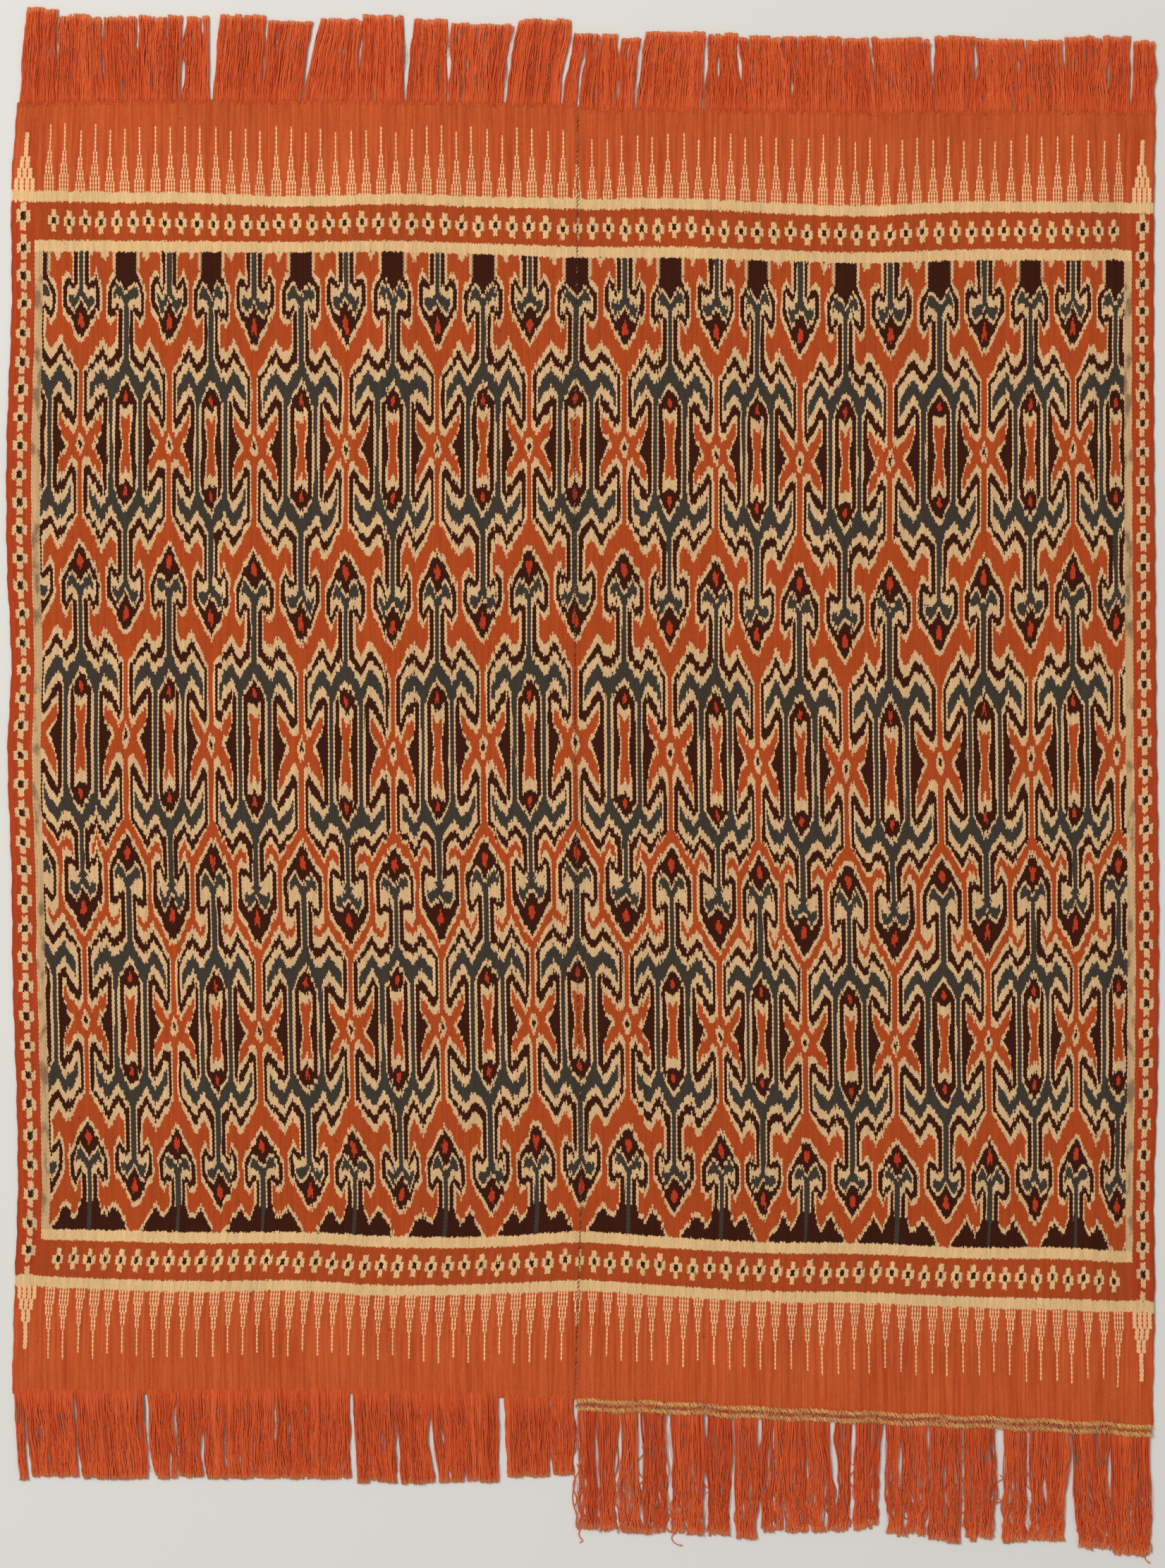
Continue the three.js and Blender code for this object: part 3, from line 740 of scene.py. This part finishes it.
def spire_share(number, middle, threads_apart, scale):
    """Undyed threads that stand up from the band: four, three, two and then one."""
    offset = dyed.sum("SUBTRACT", thread, dyed.sum("ROUND", dyed.scaled(middle, 1 / THREAD)))
    offset = dyed.scaled(offset, 1 / threads_apart)
    own_height = dyed.chance(dyed.sum("ADD", dyed.scaled(number, 1, 700), which))
    height = dyed.sum("MULTIPLY_ADD", end_slip, 0.3, dyed.scaled(own_height, SPIRE_UNEVEN, -SPIRE_UNEVEN / 2))
    height = dyed.sum("ADD", height, level_outward)
    steps = [dyed.sum("GREATER_THAN", height, level * scale) for level in SPIRE_STEPS]
    fewer = dyed.sum("ADD", dyed.sum("ADD", steps[0], steps[1]), steps[2])
    lines = dyed.scaled(fewer, -1, 4)
    near = dyed.sum("SUBTRACT", lines, dyed.sum("ABSOLUTE", offset))
    beat = dyed.sum("PINGPONG", dyed.sum("ADD", offset, dyed.scaled(lines, 1, 8)), 1)
    below_tip = dyed.soft_step(dyed.scaled(height, -1, SPIRE_HEIGHT * scale), 1)
    share = dyed.sum("MULTIPLY", dyed.sum("GREATER_THAN", beat, 0.4), dyed.sum("GREATER_THAN", near, 0))
    return dyed.sum("MULTIPLY", share, below_tip)


# One spire stands over the seam itself, so the pitch of each panel divides what lies before it
THIN_SPIRES_START = SPIRE_FIRST - SPIRE_PITCH_LEFT * 1.5
pitch_step = SPIRE_PITCH_RIGHT - SPIRE_PITCH_LEFT
spire_pitch = dyed.scaled(dyed.value_of("panel"), pitch_step, SPIRE_PITCH_LEFT)
spire_number = dyed.sum("ROUND", dyed.sum("DIVIDE", dyed.scaled(inward, 1, -SPIRE_FIRST), spire_pitch))
spire_middle = dyed.sum("MULTIPLY_ADD", spire_number, spire_pitch, SPIRE_FIRST)
thin = spire_share(spire_number, spire_middle, 1, 1)
thin = dyed.sum("MULTIPLY", thin, dyed.sum("GREATER_THAN", inward, THIN_SPIRES_START))
thick = spire_share(-3, SIDE_CROSS_MIDDLE, 2, 0.92)
thick = dyed.sum("MULTIPLY", thick, dyed.sum("LESS_THAN", inward, THIN_SPIRES_START))
spires = dyed.sum("MAXIMUM", thin, thick)
end_ground = dyed.blend(spires, end_orange, tone_of(*SPIRE_UNDYED))

# The bands meet in a soft edge, and grime has gathered on the side bands
BAND_EDGE = 0.8
SMUDGE_START = 0.09
SMUDGE_EDGE = 0.16
SMUDGE_DEPTH = 0.7
undyed = tone_of(*UNDYED)
in_side_band = dyed.sum("LESS_THAN", inward, SIDE_BAND_END)
in_side_orange = dyed.sum("LESS_THAN", inward, SIDE_ORANGE)
smudges = dyed.cloudy(dyed.scaled(across, 0.1), dyed.scaled(along, 0.045), detail=3)
smudges = dyed.soft_step(dyed.scaled(smudges, 1, -SMUDGE_START), SMUDGE_EDGE)
side_band = dyed.blend(dyed.scaled(smudges, SMUDGE_DEPTH), tone_of(*STAINED_UNDYED), tone_of(*GRIME))
colour = dyed.blend(in_side_band, field, side_band)
colour = dyed.blend(dyed.soft_step(dyed.scaled(outward, 1, FIELD_START), BAND_EDGE), colour, undyed)
colour = dyed.blend(in_side_orange, colour, side)
past_inner = dyed.soft_step(dyed.scaled(outward, 1, INNER_BAND_START), BAND_EDGE)
beyond_column = dyed.sum("GREATER_THAN", inward, SIDE_ORANGE)
colour = dyed.blend(dyed.sum("MULTIPLY", past_inner, beyond_column), colour, cross_row)
colour = dyed.blend(dyed.soft_step(dyed.scaled(outward, 1, OUTER_BAND), BAND_EDGE), colour, undyed)
colour = dyed.blend(dyed.soft_step(outward, BAND_EDGE), colour, end_ground)

# Light and shade of the threads, worn streaks and uneven dye: how strongly each one shows
THREAD_UNEVEN = 0.14
BEAD_UNEVEN = 0.12
STREAK_DEPTH = 0.32
PATCH_DEPTH = 0.22
SPECK_START = 0.3
SPECK_EDGE = 0.06
SPECK_DEPTH = 0.35
RELIEF_HEIGHT = 0.35 * MM
RELIEF_STRENGTH = 0.6
streaks = dyed.cloudy(dyed.scaled(count, 0.4), dyed.scaled(along, 0.012), detail=3)
patches = dyed.cloudy(dyed.scaled(across, 0.018), dyed.scaled(along, 0.012), detail=4)
red_share = dyed.node("SeparateColor", colour).outputs[0]
contrast = dyed.sum("MAXIMUM", dyed.scaled(red_share, -1.6, 0.95), 0.2)
rows = dyed.scaled(dyed.sum("ABSOLUTE", wave), 0.3, 0.7)
lit = dyed.sum("MULTIPLY_ADD", relief, rows, -0.45)
light = dyed.sum("MULTIPLY_ADD", lit, contrast, 1)
light = dyed.sum("ADD", light, dyed.scaled(thread_chance, THREAD_UNEVEN, -THREAD_UNEVEN / 2))
bead_row = dyed.sum("FLOOR", dyed.scaled(picks, 0.5 / np.pi))
bead = dyed.sum("MULTIPLY_ADD", bead_row, BEADS_APART, own)
light = dyed.sum("ADD", light, dyed.scaled(dyed.chance(bead), BEAD_UNEVEN, -BEAD_UNEVEN / 2))
light = dyed.sum("MULTIPLY_ADD", streaks, STREAK_DEPTH, light)
light = dyed.sum("MULTIPLY_ADD", patches, PATCH_DEPTH, light)
specks = dyed.cloudy(dyed.scaled(across, 0.16), dyed.scaled(along, 0.11), detail=2)
specks = dyed.soft_step(dyed.scaled(specks, 1, -SPECK_START), SPECK_EDGE)
light = dyed.sum("MULTIPLY_ADD", specks, -SPECK_DEPTH, light)
shade = dyed.node("CombineColor", light, light, light).outputs[0]
colour = dyed.blend(1, colour, shade, "MULTIPLY")
bump = dyed.node("Bump", RELIEF_STRENGTH, RELIEF_HEIGHT, None, relief)
dyed.give(ikat_surface.inputs["Base Color"], colour)
dyed.give(ikat_surface.inputs["Normal"], bump.outputs[0])
ikat_surface.inputs["Specular IOR Level"].default_value = 0.08
ikat_surface.inputs["Sheen Weight"].default_value = 0.03
ikat_surface.inputs["Sheen Roughness"].default_value = 0.5

left_panel = weave_panel(
    "left_panel_cloth",
    ikat_material,
    LEFT_STATIONS,
    LEFT_WEFTS,
    LEFT_COLUMNS,
    edges=(0, 1),
    first_x=LEFT_FIRST_X,
    outer_on_left=True,
)
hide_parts("left_panel")
right_panel = weave_panel(
    "right_panel_cloth",
    ikat_material,
    RIGHT_STATIONS,
    RIGHT_WEFTS,
    RIGHT_COLUMNS,
    edges=(1, 2),
    first_x=RIGHT_FIRST_X,
    outer_on_left=False,
)
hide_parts("right_panel")


# The seam: the two inner selvedges are whipped together with a dark brown cotton thread, one
# short slanting stitch over both edges after another.
STITCH_PITCH = 3.7
STITCH_REACH = 0.9
STITCH_SLANT = 1.2
STITCH_RADIUS = 0.28
STITCH_BEND = 7
STITCH_TWIST = 900
STITCH_BROWN = (66, 38, 26)
STITCH_PALE = (196, 150, 104)


def spin(name, paths, radii, tones, material, sides=5):
    """One piece of many round yarns, each along its own path of points in millimetres."""
    count, steps = radii.shape
    tangents = np.gradient(paths, axis=1)
    tangents /= np.linalg.norm(tangents, axis=2, keepdims=True)
    aside = np.cross(tangents, np.array([0, 0, 1.0]))
    aside /= np.linalg.norm(aside, axis=2, keepdims=True)
    above = np.cross(aside, tangents)
    turns = np.arange(sides) / sides * 2 * np.pi
    ring = np.cos(turns)[:, None] * aside[:, :, None] + np.sin(turns)[:, None] * above[:, :, None]
    points = paths[:, :, None] + radii[:, :, None, None] * ring
    number = np.arange(count * steps * sides).reshape(count, steps, sides)
    after = np.roll(number, -1, axis=2)
    walls = np.stack([number[:, :-1], after[:, :-1], after[:, 1:], number[:, 1:]], -1).reshape(-1, 4)
    faces = walls.tolist() + number[:, 0, ::-1].tolist() + number[:, -1].tolist()
    piece = new_piece(name, points.reshape(-1, 3), faces, material)
    lengths = np.linalg.norm(np.diff(paths, axis=1), axis=2)
    lengths = np.concatenate([np.zeros((count, 1)), np.cumsum(lengths, axis=1)], axis=1)
    turn_at = np.broadcast_to(np.arange(sides) / sides, (count, steps, sides))
    length_at = np.broadcast_to(lengths[:, :, None], (count, steps, sides)) * MM
    share_at = length_at / length_at[:, -1:, :]
    add_uv(piece.data, "yarn", np.stack([turn_at, length_at], -1).reshape(-1, 2))
    add_value(piece.data, "tone", np.broadcast_to(tones[:, None, None], (count, steps, sides)))
    add_value(piece.data, "toward_tip", share_at)
    strips = 4
    per_strip = int(np.ceil(count / strips))
    place = np.arange(count)
    bake_u = (place % per_strip + 0.1)[:, None, None] / per_strip + turn_at * 0.8 / per_strip
    bake_v = ((place // per_strip)[:, None, None] + 0.02 + 0.96 * share_at) / strips
    add_uv(piece.data, "OFBake", np.stack([bake_u, bake_v], -1).reshape(-1, 2))
    return piece


chance = np.random.default_rng(41)
stitch_ys = np.arange(-540, 594, STITCH_PITCH)
stitch_ys = stitch_ys + chance.normal(0, 0.25, len(stitch_ys))
stitch_xs = np.interp(stitch_ys, edge_ys, edge_lines[:, 1])
over = np.linspace(-1, 1, STITCH_BEND)
stitch_reach = STITCH_REACH * chance.normal(1, 0.12, (len(stitch_ys), 1))
stitch_paths = np.stack([
    stitch_xs[:, None] + over * stitch_reach,
    stitch_ys[:, None] + over * STITCH_SLANT,
    (cockle(stitch_xs, stitch_ys) + 1.3)[:, None] + 0.55 * np.sqrt(1 - 0.9 * over**2),
], -1)
stitch_material, stitch_surface = new_material("seam_thread", STITCH_BROWN, 0.8)
twist = Finish(stitch_material)
yarn_turn, yarn_length = twist.uv("yarn")
turned = twist.sum("MULTIPLY_ADD", yarn_length, STITCH_TWIST, yarn_turn)
ply = twist.sum("SINE", twist.scaled(turned, 2 * np.pi))
stitch_tone = twist.blend(twist.value_of("tone"), tone_of(*STITCH_BROWN), tone_of(*STITCH_PALE))
twist.give(stitch_surface.inputs["Base Color"], stitch_tone)
twist.give(stitch_surface.inputs["Normal"], twist.node("Bump", 0.5, 0.15 * MM, None, ply).outputs[0])
seam = spin(
    "seam_stitches",
    stitch_paths,
    np.full((len(stitch_ys), STITCH_BEND), STITCH_RADIUS),
    chance.uniform(0, 1, len(stitch_ys)) ** 2,
    stitch_material,
)


# The fringes: cut ends of the same orange warps, left loose beyond the last pick. They lie in
# two layers, lean and cross within loose bunches, and fray a little at their tips.
# Each bunch of yarns: where it leaves the weave, from x to x, where its tips lie, and their y
TOP_LEFT = np.array([
    (-495, -463, -488, -462, 682), (-463, -421, -460, -424, 676), (-421, -391, -422, -393, 674.5),
    (-391, -354, -391, -351, 675), (-352, -328, -348, -329, 674.5), (-325, -283, -319, -278, 676),
    (-283, -248, -276, -237, 671), (-246, -197, -230, -194, 672), (-197, -157, -193, -157, 675.5),
    (-155, -120, -148, -119, 672), (-118, -70, -116, -62, 668), (-68, -20, -57, -10, 672),
    (-18, -5.5, -6.5, 2, 659),
])
TOP_RIGHT = np.array([
    (-3.5, 30, 4, 31, 659), (30, 45, 33, 51, 656), (47, 104, 55, 108, 661), (106, 138, 111, 136, 659.5),
    (138, 184, 138, 182, 657), (184, 227, 183, 228, 656.5), (227, 259, 229, 251, 656),
    (259, 307, 253, 306, 656), (308, 345, 309, 344, 657), (345, 385, 346, 380, 654.5),
    (385, 424, 382, 422, 653.5), (424, 481, 424, 482, 657), (482, 503, 485, 504, 653),
])
BOTTOM_LEFT = np.array([
    (-500, -492, -496, -487, -615), (-492, -448, -484, -443, -612), (-447, -386, -440, -381, -614),
    (-383, -358, -377, -358, -614), (-357, -336, -356, -334, -613), (-335, -271, -331, -271, -614),
    (-270, -205, -270, -204, -614), (-202, -166, -198, -163, -617.5), (-165, -135, -159, -132, -618.5),
    (-134, -74, -127, -73, -617), (-69, -30, -66, -28, -612.5), (-29, -8, -27, -7, -611),
])
BOTTOM_RIGHT = np.array([
    (-4.5, 11.5, -4.5, 14, -659), (12.5, 31, 16, 28, -661), (32, 47.5, 33, 52, -662),
    (51, 73.5, 54, 75, -663), (77, 107, 78.5, 107, -664), (110, 131, 109, 130, -665),
    (133, 154, 134, 154, -668), (157, 217, 156, 222, -662), (223, 236.5, 223.5, 233.5, -661),
    (240, 264, 238, 258, -659), (266, 304, 267, 302, -665), (305, 333, 304, 333, -671),
    (335, 363, 336, 363, -669), (370, 391, 370, 391, -672), (393, 427, 393, 424, -669),
    (428, 463, 436, 465, -677), (463.5, 499.5, 467, 499.5, -682),
])
YARN_RADIUS = 0.56
FIBRE_RADIUS = 0.2
FIBRE_SHARE = 0.16
YARN_UNEVEN = 0.13
TIP_FLARE = [1.1, 1.25]
YARN_TWIST = 420
LOCK_WIDTH = 6.5
LOCK_WAVES = 2.1
YARN_WAVES = 3.4
CURL_WAVES = 8
GATHERED = 0.28
PILE = 2
LOCK_RISE = 0.3
ROOT_HEIGHT = 0.55
ROOT_RISE = 0.75
FRINGE_ORANGE = (225, 104, 53)
FRINGE_DEEP = (200, 74, 33)
FRINGE_TIP = (240, 146, 92)
DUSTY_GREY = (120, 108, 96)
# A few yarns are dusty grey at their roots; they are the ones whose tone is above all others
MOST_TONE = 0.985
DUSTY_TO = 0.35
DUSTY_SHARE = 0.003

fringe_material, fringe_surface = new_material("fringe_cotton", FRINGE_ORANGE, 0.8)
loose = Finish(fringe_material)
yarn_turn, yarn_length = loose.uv("yarn")
turned = loose.sum("MULTIPLY_ADD", yarn_length, YARN_TWIST, yarn_turn)
ply = loose.sum("SINE", loose.scaled(turned, 2 * np.pi))
fuzz = loose.cloudy(loose.scaled(yarn_turn, 6), loose.scaled(yarn_length, 900), detail=3)
tone = loose.value_of("tone")
faded = loose.sum("MULTIPLY_ADD", loose.cloudy(tone, loose.scaled(yarn_length, 60)), 0.5, tone)
yarn_colour = loose.blend(faded, tone_of(*FRINGE_DEEP), tone_of(*FRINGE_ORANGE))
dusty = loose.sum("GREATER_THAN", tone, MOST_TONE)
dusty = loose.sum("MULTIPLY", dusty, loose.sum("LESS_THAN", loose.value_of("toward_tip"), DUSTY_TO))
yarn_colour = loose.blend(dusty, yarn_colour, tone_of(*DUSTY_GREY))
tip_share = loose.soft_step(loose.scaled(loose.value_of("toward_tip"), 1, -0.97), 0.05)
yarn_colour = loose.blend(loose.scaled(tip_share, 0.8), yarn_colour, tone_of(*FRINGE_TIP))
relief = loose.sum("MULTIPLY_ADD", fuzz, 1.2, loose.scaled(ply, 0.5))
light = loose.scaled(ply, 0.07, 1)
shade = loose.node("CombineColor", light, light, light).outputs[0]
loose.give(fringe_surface.inputs["Base Color"], loose.blend(1, yarn_colour, shade, "MULTIPLY"))
loose.give(fringe_surface.inputs["Normal"], loose.node("Bump", 0.5, 0.15 * MM, None, relief).outputs[0])
fringe_surface.inputs["Specular IOR Level"].default_value = 0.12
fringe_surface.inputs["Sheen Weight"].default_value = 0.04
fringe_surface.inputs["Sheen Roughness"].default_value = 0.5


def sway(chance, number, along, turns):
    """Slow side-to-side waves, one row for each yarn or lock."""
    height = chance.normal(0, 1, (number, 1))
    return height * np.sin(np.pi * (turns * along + chance.uniform(0, 2, (number, 1))))


def loosen(bunches, root_line, *, root_depth, steps, yarns_per_mm, wander, curl, ragged, seed):
    """Paths, radii and tones of the yarns of one fringe, gathered in locks within each bunch."""
    chance = np.random.default_rng(seed)
    along = np.linspace(0, 1, steps)
    all_paths = []
    all_radii = []
    all_tones = []
    for start, stop, tip_start, tip_stop, reach in bunches:
        number = int(round((stop - start) * yarns_per_mm))
        place = (np.arange(number) + chance.uniform(0, 1, number)) / number
        locks = max(int(round((stop - start) / LOCK_WIDTH)), 1)
        lock = np.clip((place * locks + chance.normal(0, 0.2, number)).astype(int), 0, locks - 1)
        is_fibre = chance.uniform(0, 1, number) < FIBRE_SHARE
        layer = np.where(is_fibre, chance.uniform(0.8, 1.2, number), chance.uniform(0, 1, number))
        side = np.sign(reach)
        root_x = start + place * (stop - start)
        root_y = root_line(root_x) - side * root_depth * chance.uniform(0, 1, number)
        tip_width = tip_stop - tip_start
        tip_x = np.clip(tip_start + place * tip_width + chance.normal(0, 1, number), tip_start, tip_stop)
        tip_x = tip_x + GATHERED * (tip_start + (lock + 0.5) / locks * tip_width - tip_x)
        short = np.abs(chance.normal(0, ragged, number)) + np.abs(chance.normal(0, ragged, locks))[lock]
        tip_y = reach - side * np.where(is_fibre, 2.5, 1) * short
        loose_share = np.minimum(along * 4, 1)
        together = sway(chance, locks, along, LOCK_WAVES)[lock]
        alone = sway(chance, number, along, YARN_WAVES) * np.where(is_fibre, 1.8, 0.8)[:, None]
        curls = sway(chance, number, along, CURL_WAVES) * curl * along**2
        drift = wander * loose_share * (together + alone) + curls
        xs = root_x[:, None] + (tip_x - root_x)[:, None] * along**1.15 + drift
        ys = root_y[:, None] + (tip_y - root_y)[:, None] * along
        heights = 0.5 + PILE * layer + LOCK_RISE * chance.uniform(0, 1, locks)[lock]
        root_z = cockle(root_x, root_y) + ROOT_HEIGHT + ROOT_RISE * layer
        leave = np.minimum(along * 5, 1)
        zs = root_z[:, None] * (1 - leave) + heights[:, None] * leave
        zs = zs + 0.25 * sway(chance, number, along, 4) * leave - 0.5 * layer[:, None] * along**3
        thickness = np.where(is_fibre, FIBRE_RADIUS, YARN_RADIUS) * chance.normal(1, YARN_UNEVEN, number)
        radii = thickness[:, None] * np.concatenate([np.ones(steps - len(TIP_FLARE)), TIP_FLARE])
        all_paths.append(np.stack([xs, ys, np.maximum(zs, radii + 0.02)], -1))
        all_radii.append(radii)
        tones = 0.5 + chance.normal(0, 0.22, number) + chance.normal(0, 0.16, locks)[lock]
        tones = np.clip(tones + 0.25 * is_fibre, 0, 0.95)
        all_tones.append(np.where(chance.uniform(0, 1, number) < DUSTY_SHARE, 1, tones))
    return np.concatenate(all_paths), np.concatenate(all_radii), np.concatenate(all_tones)


# How the yarns lie in the short fringes at the top and at the bottom, and in the long one
SHORT = {"root_depth": 5, "steps": 15, "yarns_per_mm": 3}
TOP = {**SHORT, "wander": 0.8, "curl": 0.4, "ragged": 1.2}
BOTTOM = {**SHORT, "wander": 0.9, "curl": 0.6, "ragged": 1}
LONG = {"root_depth": 2, "steps": 23, "yarns_per_mm": 2.1, "wander": 1.1, "curl": 1.9, "ragged": 1.8}

fringe_top_left = spin(
    "fringe_top_left_yarns",
    *loosen(TOP_LEFT, lambda x: np.interp(x, LEFT_STATIONS, LEFT_WEFTS[-1]), **TOP, seed=11),
    fringe_material,
    sides=4,
)
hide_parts("fringe_top_left")
fringe_top_right = spin(
    "fringe_top_right_yarns",
    *loosen(TOP_RIGHT, lambda x: np.interp(x, RIGHT_STATIONS, RIGHT_WEFTS[-1]), **TOP, seed=12),
    fringe_material,
    sides=4,
)
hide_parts("fringe_top_right")
fringe_bottom_left = spin(
    "fringe_bottom_left_yarns",
    *loosen(BOTTOM_LEFT, lambda x: np.interp(x, LEFT_STATIONS, LEFT_WEFTS[0]), **BOTTOM, seed=13),
    fringe_material,
    sides=4,
)
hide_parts("fringe_bottom_left")
hanging_paths, hanging_radii, hanging_tones = loosen(
    BOTTOM_RIGHT, lambda x: np.interp(x, RIGHT_STATIONS, RIGHT_WEFTS[0]), **LONG, seed=14
)
# Yarns that have come out of their lock: from x, y to x, y, and how widely each one curls
STRAYS = np.array([
    (-8.7, -606, -6, -657, 1.5), (-5, -600, -7.5, -640, 2), (0, -652, -2.5, -672, 2),
    (77, -660, 86, -676, 3), (52, -585, 50, -622, 3), (108, -600, 109, -630, 3.5),
    (237, -600, 239, -632, 3), (292, -640, 283, -654, 5), (331, -584, 338, -606, 5),
    (334, -612, 329, -640, 5), (337, -640, 333, -660, 4), (367, -610, 364, -640, 4),
    (392, -600, 394, -634, 3), (496, -678, 497.5, -690, 2),
])
STRAY_RADIUS = 0.42
STRAY_TONE = 0.7
share = np.linspace(0, 1, LONG["steps"])
stray_xs = STRAYS[:, 0:1] + (STRAYS[:, 2:3] - STRAYS[:, 0:1]) * share
stray_xs = stray_xs + STRAYS[:, 4:5] * np.sin(3 * np.pi * share)
stray_ys = STRAYS[:, 1:2] + (STRAYS[:, 3:4] - STRAYS[:, 1:2]) * share
stray_ys = stray_ys + 0.6 * STRAYS[:, 4:5] * (1 - np.cos(3 * np.pi * share))
stray_zs = 0.7 + 0.7 * np.sin(2 * np.pi * share) ** 2 + 0 * stray_xs
fringe_bottom_right = spin(
    "fringe_bottom_right_yarns",
    np.concatenate([hanging_paths, np.stack([stray_xs, stray_ys, stray_zs], -1)]),
    np.concatenate([hanging_radii, np.full(stray_xs.shape, STRAY_RADIUS)]),
    np.concatenate([hanging_tones, np.full(len(STRAYS), STRAY_TONE)]),
    fringe_material,
    sides=4,
)
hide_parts("fringe_bottom_right")


# The twined row: pairs of gold cotton yarns twined over the warps of the right panel, just below
# its last pick, to stop the weaving from working loose.
GOLD = (236, 178, 96)
GOLD_DEEP = (176, 84, 38)
TWINED_START = -5.5
TWINED_END = 501
TWINED_HEIGHT = 1.9
TWINED_BEND = 7
GOLD_TWIST = 700

gold_material, gold_surface = new_material("gold_cotton", GOLD, 0.7)
gilt = Finish(gold_material)
yarn_turn, yarn_length = gilt.uv("yarn")
turned = gilt.sum("MULTIPLY_ADD", yarn_length, GOLD_TWIST, yarn_turn)
ply = gilt.sum("SINE", gilt.scaled(turned, 2 * np.pi))
gold_colour = gilt.blend(gilt.value_of("tone"), tone_of(*GOLD_DEEP), tone_of(*GOLD))
gilt.give(gold_surface.inputs["Base Color"], gold_colour)
gilt.give(gold_surface.inputs["Normal"], gilt.node("Bump", 0.5, 0.12 * MM, None, ply).outputs[0])
gold_surface.inputs["Sheen Weight"].default_value = 0.2

chance = np.random.default_rng(77)
twining_paths = []
twining_tones = []
twining_radii = []
# Each line: how far below the last pick, half its height, lean, yarns per mm, radius and tone
TWINING_LINES = [
    (0.9, 1.9, -1.1, 1.7, 0.34, 0.8),
    (4.1, 1.6, 0.6, 1.2, 0.45, 0.05),
    (7.4, 2.2, -1.2, 1.6, 0.34, 0.75),
]
for below, half_height, lean, yarns_per_mm, radius, tone in TWINING_LINES:
    xs = np.arange(TWINED_START, TWINED_END, 1 / yarns_per_mm)
    number = len(xs)
    xs = xs + chance.normal(0, 0.4, number)
    ys = np.interp(xs, RIGHT_STATIONS, RIGHT_WEFTS[0]) - below
    ys = ys + 0.7 * np.sin(xs / 8 + below) + chance.normal(0, 0.5, number)
    over = np.linspace(-1, 1, TWINED_BEND)
    reach = half_height * chance.normal(1, 0.2, (number, 1))
    twining_paths.append(np.stack([
        xs[:, None] - over * lean * chance.normal(1, 0.35, (number, 1)),
        ys[:, None] - over * reach,
        TWINED_HEIGHT + chance.uniform(0, 0.5, (number, 1)) + 0.7 * np.sqrt(1 - 0.9 * over**2),
    ], -1))
    patches = 0.15 * np.sin(xs / 4.7 + below) + 0.15 * np.sin(xs / 11 + below)
    twining_tones.append(np.clip(tone + patches + chance.normal(0, 0.2, number), 0, 1))
    twining_radii.append(radius * chance.normal(1, 0.15, (number, 1)) * np.ones(TWINED_BEND))
twined_row = spin(
    "twined_row_yarns",
    np.concatenate(twining_paths),
    np.concatenate(twining_radii),
    np.concatenate(twining_tones),
    gold_material,
    sides=4,
)
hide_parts("twined_row")
